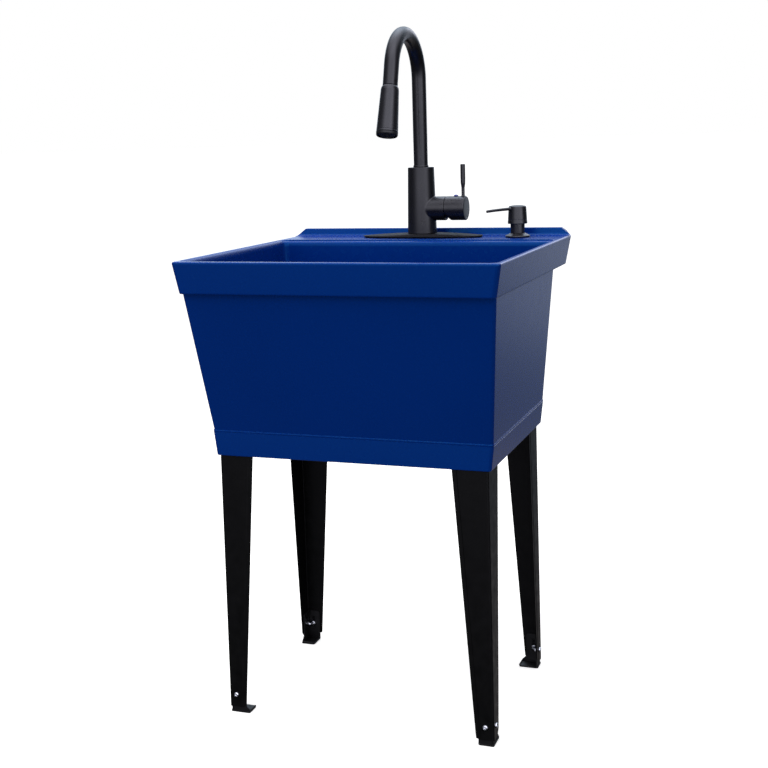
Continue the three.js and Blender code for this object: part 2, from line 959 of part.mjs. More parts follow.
// ------------------------------------------------------------ soap dispenser
{
  const soap = new THREE.Group();
  soap.position.set(DISPENSER_X, FAUCET_Y, RIM_Z);
  sink.add(soap);
  piece(
    "soap_gasket",
    turned([
      [13.8, 0.15],
      [23, 0.15],
      [23, 1.3],
      [13.8, 1.3],
      [13.8, 0.15],
    ], 24),
    RUBBER,
    soap,
  );
  piece(
    "soap_flange",
    turned([
      [11, -55],
      [13.5, -55],
      [13.5, 1.5],
      [24.4, 1.5],
      [24.6, 2.8],
      [22.5, 4.2],
      [17, 6.4],
      [15.4, 8],
      [11, 8],
      [11, -55],
    ], 32),
    MATT_BLACK,
    soap,
  );
  piece(
    "soap_pump_housing",
    turned([
      [0, -50],
      [3.6, -50],
      [10.6, -46],
      [10.6, 8.3],
      [14, 8.3],
      [14, 34],
      [13, 35],
      [7.8, 35],
      [7.8, 21.6],
      [3.7, 21],
      [3.7, 17],
      [7.4, 16.4],
      [7.4, -42],
      [0, -43],
    ], 28),
    MATT_BLACK,
    soap,
  );
  piece(
    "soap_dip_tube",
    turned([
      [2, -140],
      [3, -140],
      [3, -50.4],
      [2, -50.4],
      [2, -140],
    ], 12),
    WHITE,
    soap,
  );
  piece(
    "soap_piston",
    turned([
      [0, -26],
      [7, -26],
      [7, -20],
      [3.3, -19.4],
      [3.3, 44],
      [0, 44],
    ], 20),
    WHITE,
    soap,
  );
  // head with its nozzle, turned towards the basin
  const N = [-0.64, -0.768];
  let headShell = cut(
    turned([
      [0, 26.2],
      [18.6, 26.2],
      [19, 27.4],
      [18.5, 33],
      [16.9, 58.7],
      [15.6, 60.3],
      [8, 61.3],
      [0, 61.6],
    ], 36),
    turned([
      [0, 20],
      [15.3, 20],
      [15.3, 50.3],
      [14.4, 50.9],
      [0, 50.9],
    ], 24),
  );
  headShell = cut(join(headShell, rod(6, 35.6, 51.7, 16)), rod(3.45, 30, 44.4, 16));
  const out = M4()
    .makeTranslation(0, 0, 55)
    .multiply(M4().makeRotationZ(Math.atan2(N[1], N[0])))
    .multiply(M4().makeRotationY(0.03));
  const nozzle = cut(
    moved(
      turnedX([
        [0, 4],
        [3.3, 4],
        [3.0, 38],
        [2.7, 72.5],
        [0, 72.5],
      ], 14),
      out,
    ),
    moved(rodX(1.5, 62.5, 76, 10), out),
  );
  piece("soap_head", join(headShell, nozzle), MATT_BLACK, soap);
  piece(
    "soap_locknut",
    cut(hexagon(42, -15, -DECK_T - 0.2), rod(13.8, -30, 0, 24)),
    PLASTIC_BLACK,
    soap,
  );
  piece(
    "soap_bottle",
    turned([
      [0, -150],
      [27, -150],
      [30, -146],
      [30, -72],
      [26, -62],
      [16.4, -55],
      [16.4, -20],
      [14, -20],
      [14, -56],
      [24.6, -63.6],
      [28.2, -72.8],
      [28.2, -145],
      [26.4, -148],
      [0, -148],
    ], 28),
    CLEAR,
    soap,
  );
}

export default sink;
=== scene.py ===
# Utility laundry sink: looks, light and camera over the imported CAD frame.
# Helpers work in millimetres and are scaled to metres when a piece is made.
import json
import math

import bmesh
import bpy
from mathutils import Matrix, Vector


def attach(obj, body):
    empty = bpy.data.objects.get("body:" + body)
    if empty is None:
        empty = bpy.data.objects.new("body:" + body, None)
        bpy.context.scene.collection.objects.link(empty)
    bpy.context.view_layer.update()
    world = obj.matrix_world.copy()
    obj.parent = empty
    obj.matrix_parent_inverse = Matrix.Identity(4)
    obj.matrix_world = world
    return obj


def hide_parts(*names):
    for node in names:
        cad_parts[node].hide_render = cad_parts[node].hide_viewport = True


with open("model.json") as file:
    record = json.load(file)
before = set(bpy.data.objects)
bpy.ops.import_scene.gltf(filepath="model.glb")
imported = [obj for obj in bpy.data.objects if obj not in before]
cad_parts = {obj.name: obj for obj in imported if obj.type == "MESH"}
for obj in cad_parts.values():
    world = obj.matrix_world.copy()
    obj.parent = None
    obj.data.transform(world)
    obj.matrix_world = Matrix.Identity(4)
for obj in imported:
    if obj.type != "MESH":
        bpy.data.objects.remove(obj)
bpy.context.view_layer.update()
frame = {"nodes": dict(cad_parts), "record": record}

NODES = frame["nodes"]
scene = bpy.context.scene
PI = math.pi

# ------------------------------------------------------------- dimensions, mm
W2, F, B = 290.5, -281.0, 281.0
RIM, APR, BACK = 847.0, 791.0, 862.0
BAND, FOOT, UNDER = 540.0, 494.0, 543.0
FAUCET = (0.0, 225.5, 847.0)
SOAP = (195.0, 225.5, 847.0)
DRAIN_Y = -46.0
SPLAY = 5 / 464
LEG = {
    "front_left": (-254.2, -220.7, 0),
    "front_right": (254.2, -220.7, 90),
    "rear_right": (254.2, 150.7, 180),
    "rear_left": (-254.2, 150.7, 270),
}


# ------------------------------------------------------------- mesh building
class G:
    """Vertices and faces of one piece, in millimetres."""

    def __init__(self):
        self.v, self.f = [], []

    def ring(self, pts):
        i = len(self.v)
        self.v += [tuple(p) for p in pts]
        return list(range(i, i + len(pts)))

    def skin(self, a, b, closed=True):
        n = len(a)
        for i in range(n if closed else n - 1):
            j = (i + 1) % n
            self.f.append((a[i], a[j], b[j], b[i]))

    def fan(self, a, centre):
        c = len(self.v)
        self.v.append(tuple(centre))
        for i in range(len(a)):
            self.f.append((a[i], a[(i + 1) % len(a)], c))

    def face(self, a):
        self.f.append(tuple(a))

    def loft(self, rings, start=None, end=None, loop=False):
        """start and end: 'face', a point for a fan, or None for open."""
        ids = [self.ring(r) for r in rings]
        for a, b in zip(ids, ids[1:]):
            self.skin(a, b)
        if loop:
            self.skin(ids[-1], ids[0])
        for how, a in ((start, ids[0]), (end, ids[-1])):
            if how == "face":
                self.face(a)
            elif how is not None:
                self.fan(a, how)
        return self

    def add(self, other, m=None):
        k = len(self.v)
        self.v += [tuple(m @ Vector(p)) for p in other.v] if m else list(other.v)
        self.f += [tuple(i + k for i in f) for f in other.f]
        return self

    def moved(self, m):
        return G().add(self, m)


def T(x=0.0, y=0.0, z=0.0):
    return Matrix.Translation((x, y, z))


def R(deg, axis):
    return Matrix.Rotation(math.radians(deg), 4, axis)


ALONG_X = R(90, "Y")
ALONG_Y = R(-90, "X")  # +Z turned onto +Y


def fillet(pts, closed=False, n=5):
    """A polyline of (x, y) or (x, y, radius); corners with a radius become arcs."""
    out, k = [], len(pts)
    for i, p in enumerate(pts):
        r = p[2] if len(p) > 2 else 0
        if not r or (not closed and i in (0, k - 1)):
            out.append((p[0], p[1]))
            continue
        a, b, c = Vector(pts[i - 1][:2]), Vector(p[:2]), Vector(pts[(i + 1) % k][:2])
        u, w = (a - b), (c - b)
        lu, lw = u.length, w.length
        u.normalize()
        w.normalize()
        half = math.acos(max(-1, min(1, u.dot(w)))) / 2
        t = min(r / math.tan(half), lu * 0.49, lw * 0.49)
        rr = t * math.tan(half)
        m = (u + w).normalized()
        o = b + m * (rr / math.sin(half))
        p0, p1 = b + u * t - o, b + w * t - o
        a0, a1 = math.atan2(p0.y, p0.x), math.atan2(p1.y, p1.x)
        d = (a1 - a0 + PI) % (2 * PI) - PI
        for s in range(n + 1):
            q = a0 + d * s / n
            out.append((o.x + rr * math.cos(q), o.y + rr * math.sin(q)))
    return out


def revolve(profile, n=48, closed=False):
    """Profile of (radius, height) turned about Z."""
    g = G()
    rows = []
    for r, h in profile:
        if r < 1e-6:
            g.v.append((0, 0, h))
            rows.append([len(g.v) - 1])
        else:
            rows.append(
                g.ring(
                    [
                        (r * math.cos(2 * PI * i / n), r * math.sin(2 * PI * i / n), h)
                        for i in range(n)
                    ]
                )
            )
    pairs = list(zip(rows, rows[1:])) + ([(rows[-1], rows[0])] if closed else [])
    for a, b in pairs:
        if len(a) == 1 and len(b) == 1:
            continue
        if len(a) == 1:
            g.f += [(b[i], b[(i + 1) % n], a[0]) for i in range(n)]
        elif len(b) == 1:
            g.f += [(a[i], a[(i + 1) % n], b[0]) for i in range(n)]
        else:
            g.skin(a, b)
    return g


def lathe(points, n=48, closed=False, k=4):
    return revolve(fillet(points, closed=closed, n=k), n, closed)


def rrect(hx, y0, y1, r, z, nc=9, m=8):
    """Rounded rectangle, from -hx to hx and y0 to y1, with m steps on each straight side."""
    p = []
    corners = (
        (hx - r, y1 - r, 0),
        (-hx + r, y1 - r, 90),
        (-hx + r, y0 + r, 180),
        (hx - r, y0 + r, 270),
    )
    arcs = [
        [
            (
                x + r * math.cos(math.radians(a + 90 * i / nc)),
                y + r * math.sin(math.radians(a + 90 * i / nc)),
                z,
            )
            for i in range(nc + 1)
        ]
        for x, y, a in corners
    ]
    for k in range(4):
        p += arcs[k]
        a, b = Vector(arcs[k][-1]), Vector(arcs[(k + 1) % 4][0])
        p += [tuple(a.lerp(b, i / m)) for i in range(1, m)]
    return p


def superoval(a, b, z, n=96, e=2.3):
    p = []
    for i in range(n):
        t = 2 * PI * i / n
        c, s = math.cos(t), math.sin(t)
        p.append(
            (
                a * math.copysign(abs(c) ** (2 / e), c),
                b * math.copysign(abs(s) ** (2 / e), s),
                z,
            )
        )
    return p


def prism(outline, x0, x1):
    """Outline of (y, z) along X."""
    g = G()
    return g.loft(
        [[(x0, y, z) for y, z in outline], [(x1, y, z) for y, z in outline]],
        "face",
        "face",
    )


def sweep(points, radius, n=32, cap=True, side=Vector((1, 0, 0))):
    """A tube along points that lie in the plane square to side."""
    g = G()
    rings = []
    for i, p in enumerate(points):
        a, b = points[max(i - 1, 0)], points[min(i + 1, len(points) - 1)]
        t = (Vector(b) - Vector(a)).normalized()
        u = t.cross(side).normalized()
        rings.append(
            [
                tuple(
                    Vector(p)
                    + side * (radius * math.cos(2 * PI * k / n))
                    + u * (radius * math.sin(2 * PI * k / n))
                )
                for k in range(n)
            ]
        )
    return g.loft(rings, "face" if cap else None, "face" if cap else None)


def plate(outline, holes=(), t=2.0, bevel=0.35):
    """A flat plate with true holes: outline and holes are lists of (u, v); thickness t about the plane."""
    cu = bpy.data.curves.new("plate", "CURVE")
    cu.dimensions, cu.fill_mode = "2D", "BOTH"
    cu.extrude, cu.bevel_depth, cu.bevel_resolution = t / 2 - bevel, bevel, 2
    cu.offset = -bevel
    for loop in (outline, *holes):
        s = cu.splines.new("POLY")
        s.points.add(len(loop) - 1)
        for q, (x, y) in zip(s.points, loop):
            q.co = (x, y, 0, 1)
        s.use_cyclic_u = True
    ob = bpy.data.objects.new("plate", cu)
    scene.collection.objects.link(ob)
    me = bpy.data.meshes.new_from_object(
        ob.evaluated_get(bpy.context.evaluated_depsgraph_get())
    )
    g = G()
    g.v = [tuple(v.co) for v in me.vertices]
    g.f = [tuple(p.vertices) for p in me.polygons]
    bpy.data.objects.remove(ob)
    bpy.data.curves.remove(cu)
    bpy.data.meshes.remove(me)
    return g


def circle(x, y, r, n=24):
    return [
        (x + r * math.cos(2 * PI * i / n), y + r * math.sin(2 * PI * i / n))
        for i in range(n)
    ]


def slot_outline(x, z0, z1, r, n=8):
    up = [
        (x + r * math.cos(PI * i / n), z1 - r + r * math.sin(PI * i / n))
        for i in range(n + 1)
    ]
    dn = [
        (x - r * math.cos(PI * i / n), z0 + r - r * math.sin(PI * i / n))
        for i in range(n + 1)
    ]
    return up + dn


def hexnut(af, z0, z1, hole, n=60, washer=None):
    """A hexagon nut with chamfered corners and a bore."""
    rin = af / 2

    def rh(t):
        return rin / math.cos((t % (PI / 3)) - PI / 6)

    rc = rin * 1.02
    slope = math.tan(math.radians(28))

    def row(z, lim=None, sgn=0):
        out = []
        for i in range(n):
            t = 2 * PI * i / n
            r = rh(t)
            if lim:
                out.append((lim * math.cos(t), lim * math.sin(t), z))
            else:
                out.append(
                    (r * math.cos(t), r * math.sin(t), z + sgn * max(0, r - rc) * slope)
                )
        return out

    g = G()
    rings = [
        row(z0, hole + 0.5),
        row(z0, rc - 0.4),
        row(z0 + 0.25, None, 1),
        row(z1 - 0.25, None, -1),
        row(z1, rc - 0.4),
        row(z1, hole + 0.5),
        row(z1 - 0.5, hole),
        row(z0 + 0.5, hole),
    ]
    return g.loft(rings, loop=True)


def make(name, g, mat, body, nodes=(), sharp=32, weighted=True, bevel=None):
    """Turns a build into an object in metres, riding a body and standing for CAD nodes."""
    me = bpy.data.meshes.new(name)
    me.from_pydata([(x * 1e-3, y * 1e-3, z * 1e-3) for x, y, z in g.v], [], g.f)
    bm = bmesh.new()
    bm.from_mesh(me)
    bmesh.ops.remove_doubles(bm, verts=bm.verts, dist=2e-6)
    bmesh.ops.recalc_face_normals(bm, faces=bm.faces)
    bm.to_mesh(me)
    bm.free()
    for p in me.polygons:
        p.use_smooth = True
    me.set_sharp_from_angle(angle=math.radians(sharp))
    ob = bpy.data.objects.new(name, me)
    scene.collection.objects.link(ob)
    for m in mat if isinstance(mat, (list, tuple)) else [mat]:
        me.materials.append(m)
    if bevel:
        m = ob.modifiers.new("bevel", "BEVEL")
        m.width, m.segments, m.limit_method = bevel * 1e-3, 2, "ANGLE"
        m.angle_limit = math.radians(35)
    if weighted:
        m = ob.modifiers.new("normals", "WEIGHTED_NORMAL")
        m.keep_sharp = True
    if body:
        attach(ob, body)
    if nodes:
        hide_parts(*nodes)
    return ob


def bake(ob):
    """The object's modifiers applied."""
    dg = bpy.context.evaluated_depsgraph_get()
    me = bpy.data.meshes.new_from_object(ob.evaluated_get(dg))
    old = ob.data
    ob.modifiers.clear()
    ob.data = me
    bpy.data.meshes.remove(old)


def boolean(ob, g, op="DIFFERENCE"):
    c = make("cutter", g, [], None, weighted=False)
    m = ob.modifiers.new("b", "BOOLEAN")
    m.operation, m.object, m.solver = op, c, "EXACT"
    bake(ob)
    me = c.data
    bpy.data.objects.remove(c)
    bpy.data.meshes.remove(me)


# ----------------------------------------------------------------- materials
def lin(c):
    return [x / 12.92 if x <= 0.04045 else ((x + 0.055) / 1.055) ** 2.4 for x in c]


def material(
    name,
    color,
    rough=0.4,
    metal=0.0,
    spec=0.5,
    vary=0.12,
    vary_scale=18.0,
    rough_vary=0.08,
    rough_scale=60.0,
    bump=0.1,
    bump_scale=900.0,
    bump_mm=0.05,
    fleck=None,
    alpha=None,
    transmission=0.0,
    coat=0.0,
    aniso=0.0,
    grain=(1, 1, 1),
    glow=0.0,
    spec_tint=None,
):
    """Procedural finish in the object's own metres: colour, roughness and relief all vary."""
    m = bpy.data.materials.new(name)
    m.use_nodes = True
    nt = m.node_tree
    nt.nodes.clear()
    out = nt.nodes.new("ShaderNodeOutputMaterial")
    p = nt.nodes.new("ShaderNodeBsdfPrincipled")
    nt.links.new(p.outputs[0], out.inputs[0])
    co = nt.nodes.new("ShaderNodeTexCoord")
    mp = nt.nodes.new("ShaderNodeMapping")
    mp.inputs["Scale"].default_value = grain
    nt.links.new(co.outputs["Object"], mp.inputs[0])

    def noise(scale, detail=3.0, r=0.55):
        n = nt.nodes.new("ShaderNodeTexNoise")
        n.inputs["Scale"].default_value = scale
        n.inputs["Detail"].default_value = detail
        n.inputs["Roughness"].default_value = r
        nt.links.new(mp.outputs[0], n.inputs["Vector"])
        return n.outputs["Fac"]

    c = lin(color)
    ramp = nt.nodes.new("ShaderNodeValToRGB")
    e = ramp.color_ramp.elements
    e[0].position, e[1].position = 0.25, 0.78
    e[0].color = (*[x * (1 - vary) for x in c], 1)
    e[1].color = (*[min(1, x * (1 + vary) + 0.002 * vary) for x in c], 1)
    nt.links.new(noise(vary_scale, 4), ramp.inputs[0])
    col = ramp.outputs[0]
    if fleck:
        fc, fs, cut = fleck
        n2 = noise(fs, 1.0)
        gt = nt.nodes.new("ShaderNodeMapRange")
        gt.inputs["From Min"].default_value = cut
        gt.inputs["From Max"].default_value = cut + 0.06
        nt.links.new(n2, gt.inputs["Value"])
        mx = nt.nodes.new("ShaderNodeMix")
        mx.data_type = "RGBA"
        nt.links.new(gt.outputs[0], mx.inputs["Factor"])
        nt.links.new(col, mx.inputs["A"])
        mx.inputs["B"].default_value = (*lin(fc), 1)
        col = mx.outputs["Result"]
    nt.links.new(col, p.inputs["Base Color"])
    mr = nt.nodes.new("ShaderNodeMapRange")
    mr.inputs["From Min"].default_value, mr.inputs["From Max"].default_value = 0.3, 0.7
    mr.inputs["To Min"].default_value = max(0.03, rough - rough_vary)
    mr.inputs["To Max"].default_value = min(1, rough + rough_vary)
    nt.links.new(noise(rough_scale, 5), mr.inputs["Value"])
    nt.links.new(mr.outputs[0], p.inputs["Roughness"])
    if bump:
        b = nt.nodes.new("ShaderNodeBump")
        b.inputs["Strength"].default_value = bump
        b.inputs["Distance"].default_value = bump_mm * 1e-3
        nt.links.new(noise(bump_scale, 2), b.inputs["Height"])
        nt.links.new(b.outputs[0], p.inputs["Normal"])
    p.inputs["Metallic"].default_value = metal
    p.inputs["Specular IOR Level"].default_value = spec
    if transmission:
        p.inputs["Transmission Weight"].default_value = transmission
    if coat:
        p.inputs["Coat Weight"].default_value = coat
        p.inputs["Coat Roughness"].default_value = 0.15
    if aniso:
        p.inputs["Anisotropic"].default_value = aniso
    if alpha:
        p.inputs["Alpha"].default_value = alpha
    if spec_tint:
        p.inputs["Specular Tint"].default_value = (*spec_tint, 1)
    if glow:
        p.inputs["Emission Color"].default_value = (1, 1, 1, 1)
        p.inputs["Emission Strength"].default_value = glow
    return m


BLUE = material("tub_blue", (0.0, 0.170, 0.500), 0.27, spec=0.5, vary=0.04, vary_scale=5, rough_vary=0.012,
                bump=0.02, bump_scale=90, bump_mm=0.02, spec_tint=(0.07, 0.42, 0.60))
LEGM = material("leg_black", (0.032, 0.032, 0.034), 0.40, spec=0.13, vary=0.15, vary_scale=30, bump=0.5,
                bump_scale=1600, bump_mm=0.05)
FOOTM = material("foot_black", (0.052, 0.052, 0.056), 0.46, spec=0.25, vary=0.2, vary_scale=60, bump=0.5,
                 bump_scale=1200, bump_mm=0.06)
ZINC = material("zinc", (0.86, 0.87, 0.88), 0.26, 1.0, vary=0.06, vary_scale=300, bump=0.2, bump_scale=2500,
                bump_mm=0.02)
MATT = material("faucet_black", (0.098, 0.098, 0.116), 0.30, spec=0.46, vary=0.10, vary_scale=40, rough_vary=0.04,
                bump=0.4, bump_scale=2600, bump_mm=0.02)
PLATE = material("plate_black", (0.090, 0.090, 0.104), 0.55, spec=0.12, vary=0.10, vary_scale=40, rough_vary=0.04,
                 bump=0.4, bump_scale=2600, bump_mm=0.02)
MATT2 = material("spray_black", (0.100, 0.100, 0.118), 0.29, spec=0.54, vary=0.10, vary_scale=40, rough_vary=0.04,
                 bump=0.4, bump_scale=2600, bump_mm=0.02)
BLACKP = material("black_plastic", (0.055, 0.055, 0.058), 0.5, spec=0.4, vary=0.15, bump=0.4, bump_scale=1800,
                  bump_mm=0.03)
RUBBER = material("rubber", (0.075, 0.075, 0.075), 0.8, spec=0.3, vary=0.25, vary_scale=120, bump=0.5,
                  bump_scale=1500, bump_mm=0.05)
BRASS = material("brass", (0.74, 0.60, 0.33), 0.28, 1.0, vary=0.10, vary_scale=90, grain=(1, 1, 9),
                 bump=0.3, bump_scale=700, bump_mm=0.02)
STEEL = material("steel", (0.78, 0.785, 0.79), 0.24, 1.0, vary=0.05, vary_scale=120, bump=0.25, grain=(1, 1, 14),
                 bump_scale=500, bump_mm=0.01)
WHITE = material("white_plastic", (0.90, 0.90, 0.87), 0.42, vary=0.05, vary_scale=70, bump=0.3, bump_scale=1200,
                 bump_mm=0.03)
BOTTLE = material("bottle", (0.90, 0.91, 0.91), 0.38, vary=0.05, vary_scale=40, bump=0.35, bump_scale=300,
                  bump_mm=0.08, transmission=0.55)
INDEX = material("index_blue", (0.06, 0.13, 0.52), 0.18, vary=0.08, vary_scale=400, bump=0.15, bump_scale=2000,
                 bump_mm=0.02)
FLOORM = material("floor", (0.985, 0.985, 0.985), 0.9, spec=0.0, vary=0.006, vary_scale=3, bump=0.05,
                  bump_scale=60, bump_mm=0.2, glow=0.55)

SLOT_MAT = {
    "tub_blue": BLUE, "leg_black": LEGM, "foot_black": FOOTM, "zinc": ZINC, "faucet_black": MATT,
    "spray_black": MATT2, "black_plastic": BLACKP, "rubber": RUBBER, "brass": BRASS, "steel": STEEL,
    "white_plastic": WHITE, "bottle": BOTTLE, "index_blue": INDEX,
}
for s in frame["record"]["subparts"]:
    ob = NODES[s["node"]]
    ob.data.materials.clear()
    ob.data.materials.append(SLOT_MAT[s["material_slot"]])


# ----------------------------------------------------------------------- tub
def build_tub():
    rr = rrect
    outside = [
        # inner face of the foot, from the underside of the floor down
        rr(251.6, -211.8, 154.2, 4.0, UNDER),
        rr(254.4, -214.6, 157.0, 5.0, UNDER - 0.9),
        rr(255.1, -215.3, 157.7, 5.5, BAND - 1),
        rr(251.2, -216.1, 158.4, 5.5, FOOT + 1.0),
        rr(251.7, -216.6, 158.9, 5.8, FOOT + 0.2),
        # foot of the tub
        rr(252.4, -217.4, 159.8, 6.0, FOOT),
        rr(253.6, -218.6, 161.0, 6.2, FOOT),
        rr(254.2, -219.2, 161.6, 6.4, FOOT + 0.5),
        rr(254.5, -219.5, 161.9, 6.5, FOOT + 1.5),
        # plain band, with the fine shadow line under its ledge
        rr(259.10, -219.75, 162.0, 6.8, BAND - 4.2),
        rr(259.15, -219.8, 162.05, 6.8, BAND - 3.6),
        rr(258.70, -219.35, 161.6, 6.6, BAND - 3.2),
        rr(258.75, -219.35, 161.6, 6.6, BAND - 2.6),
        rr(259.40, -219.95, 162.15, 6.8, BAND - 2.2),
        rr(259.6, -220.1, 162.3, 6.9, BAND - 1.4),
        rr(259.6, -220.1, 162.3, 6.9, BAND - 0.5),
        rr(259.2, -219.7, 161.9, 6.7, BAND + 0.15),
        rr(258.5, -219.05, 161.35, 6.5, BAND + 0.3),
        rr(258.25, -218.8, 161.15, 6.3, BAND + 0.7),
        rr(258.5, -218.95, 161.3, 6.3, BAND + 2.0),
        # body
        rr(278.7, -266.9, 167.9, 7.0, APR - 1.6),
        rr(278.9, -267.2, 168.1, 7.2, APR - 0.6),
        rr(279.5, -268.0, 169.0, 7.5, APR - 0.05),
        # underside and foot of the apron
        rr(279.8, -270.0, 269.5, 7.8, APR),
        rr(280.2, -274.2, 272.1, 8.0, APR),
        rr(280.8, -275.2, 272.9, 8.2, APR + 0.4),
        rr(281.3, -275.8, 273.4, 8.3, APR + 1.4),
        rr(281.6, -276.1, 273.7, 8.3, APR + 3.0),
        # apron and rim edge
        rr(289.85, -280.35, 280.3, 8.2, RIM - 5.2),
        rr(290.05, -280.55, 280.55, 8.2, RIM - 3.6),
        rr(289.9, -280.4, 280.5, 8.1, RIM - 2.3),
        rr(289.3, -279.8, 280.0, 7.8, RIM - 1.2),
        rr(288.2, -278.7, 279.0, 7.3, RIM - 0.4),
        rr(286.6, -277.1, 277.4, 6.8, RIM),
        rr(285.2, -275.7, 276.0, 6.5, RIM),
        # flat of the rim, then the stepped and rolled edge of the basin
        rr(283.4, -271.9, 173.5, 15.0, RIM),
        rr(282.4, -270.9, 172.9, 14.5, RIM - 0.15),
        rr(281.2, -269.7, 172.5, 14.1, RIM - 0.6),
        rr(279.9, -268.4, 172.3, 13.7, RIM - 1.6),
        rr(279.1, -267.6, 172.1, 13.4, RIM - 2.5),
        rr(278.8, -267.3, 171.6, 13.2, RIM - 2.9),
        rr(278.6, -267.1, 170.6, 13.1, RIM - 3.15),
        rr(278.4, -266.9, 168.9, 12.9, RIM - 3.5),
        rr(277.9, -266.4, 167.2, 12.6, RIM - 4.4),
        rr(277.3, -265.8, 165.9, 12.3, RIM - 5.8),
        rr(276.9, -265.4, 165.0, 12.1, RIM - 7.6),
        rr(276.6, -265.0, 164.4, 12.0, RIM - 10.0),
        rr(276.3, -264.6, 164.2, 12.0, RIM - 13.0),
        rr(275.2, -263.2, 163.6, 12.4, APR + 2.0),
        # basin wall, floor fillet and floor
        rr(258.6, -223.0, 158.7, 14.0, 579.0),
        rr(257.6, -221.4, 158.0, 14.2, 572.0),
        rr(255.4, -218.4, 156.2, 14.0, 564.5),
        rr(251.4, -213.8, 152.6, 13.4, 558.4),
        rr(246.0, -208.0, 147.4, 12.6, 554.6),
        rr(240.4, -202.4, 141.8, 11.6, 552.7),
        rr(235.5, -197.6, 137.0, 11.0, 552.1),
    ]
    last = outside[-1]
    c = Vector((0, DRAIN_Y, 0))

    def around(r, z, share=1.0):
        pts = []
        for p in last:
            d = Vector((p[0], p[1], 0)) - c
            round_ = d.normalized() * r
            q = c + d * (1 - share) * 0 + round_
            pts.append((q.x, q.y, z))
        return pts

    def between(t, z, r):
        pts = []
        for p in last:
            d = Vector((p[0], p[1], 0)) - c
            q = c + (d * (1 - t) + d.normalized() * r * t)
            pts.append((q.x, q.y, z))
        return pts

    rings = outside + [
        between(0.25, 551.2, 60),
        between(0.6, 550.0, 60),
        between(1.0, 548.9, 60),
        around(49, 548.5),
        around(46.5, 548.1),
        around(45.5, 547.7),
        around(33.5, 547.7),
        around(25.4, 543.6),
        around(25.0, 543.0),
    ]
    # underside of the floor
    rings += [around(60, UNDER), [(x, y, UNDER) for x, y, z in rr(212, -190, 128, 20, 0)]]
    g = G().loft(rings, loop=True)
    tub = make("tub_shell", g, BLUE, None, weighted=False)
    # hollow under the deck, behind the body
    hollow = G().loft(
        [
            rr(277.4, 175.0, 269.2, 8, APR - 6, 6, 2),
            rr(281.8, 175.0, 272.6, 8, RIM - 8, 6, 2),
            rr(281.2, 175.8, 272.0, 7.5, RIM - 6, 6, 2),
            rr(279.0, 178.0, 270.0, 6, RIM - 5, 6, 2),
        ],
        "face",
        "face",
    )
    boolean(tub, hollow)
    for x, r in ((0.0, 17.5), (SOAP[0], 15.0)):
        boolean(tub, lathe([(0, 830), (r, 830), (r, 860), (0, 860)], 40).moved(T(x, FAUCET[1], 0)))
    extra = G()
    # upstand: cove from the deck, rolled top edge, ends cut on a slant
    prof = fillet(
        [
            (252.0, RIM - 1.0),
            (252.0, RIM + 0.02),
            (266.6, RIM + 0.05, 9.0),
            (268.6, BACK - 2.2),
            (269.6, BACK, 2.2),
            (279.2, BACK, 2.6),
            (280.5, BACK - 6.0),
            (280.6, RIM - 3.4),
            (276.0, RIM - 4.5),
        ],
        n=6,
    )

    def end_x(z, inset=0.0):
        return 289.6 - max(0.0, z - RIM - 0.2) * 1.10 - inset

    cy = sum(p[0] for p in prof) / len(prof)
    cz = sum(p[1] for p in prof) / len(prof)

    def face_at(side, inset, shrink):
        return [
            (
                side * end_x(z, inset),
                y + (cy - y) * shrink,
                z + (cz - z) * shrink,
            )
            for y, z in prof
        ]

    xs = [-1 + 2 * i / 24 for i in range(25)]
    body_rings = [[(x * end_x(z, 2.2), y, z) for y, z in prof] for x in xs]
    extra.loft(
        [face_at(-1, 0.0, 0.10), face_at(-1, 0.5, 0.03)]
        + body_rings
        + [face_at(1, 0.5, 0.03), face_at(1, 0.0, 0.10)],
        "face",
        "face",
    )
    # sockets for the leg tops, inside the foot of the tub
    for x, y, deg in LEG.values():
        s, w = SPLAY * 510, 34.3 + 30 / 464 * 513
        m = T(x, y, 0) @ R(deg, "Z")

        # how far the socket reaches out past the leg: to the side wall, and fore or aft
        fore = 1.8 if y < 0 else 9.0
        turned_ = deg in (90, 270)

        def ell(lift, end, inner, z, reach=0.0):
            side_, fore_ = lift + reach, (lift if reach == 0 else fore)
            ax, ay = (fore_, side_) if turned_ else (side_, fore_)
            ax, ay, e, i = s - ax, s - ay, s + w + end, s + inner
            return [(ax, ay, z), (e, ay, z), (e, i, z), (i, i, z), (i, e, z), (ax, e, z)]

        sock = G().loft(
            [
                ell(0.5, 0.5, 2.7, 543.4),
                ell(0.5, 0.5, 2.7, 498.6),
                ell(0.9, 1.0, 3.2, 498.0),
                ell(1.3, 3.9, 5.3, 498.0, 2.2),
                ell(1.8, 4.4, 5.8, 498.6, 2.2),
                ell(1.8, 4.4, 5.8, 545.0, 6.2),
            ]
        )
        extra.add(sock, m)
    more = make("tub_more", extra, BLUE, None, weighted=False)
    g2 = G()
    for o in (tub, more):
        k = len(g2.v)
        g2.v += [tuple(v.co * 1000) for v in o.data.vertices]
        g2.f += [tuple(i + k for i in p.vertices) for p in o.data.polygons]
        me = o.data
        bpy.data.objects.remove(o)
        bpy.data.meshes.remove(me)
    return make("tub_detail", g2, BLUE, "sink", ["tub"], sharp=28)


build_tub()


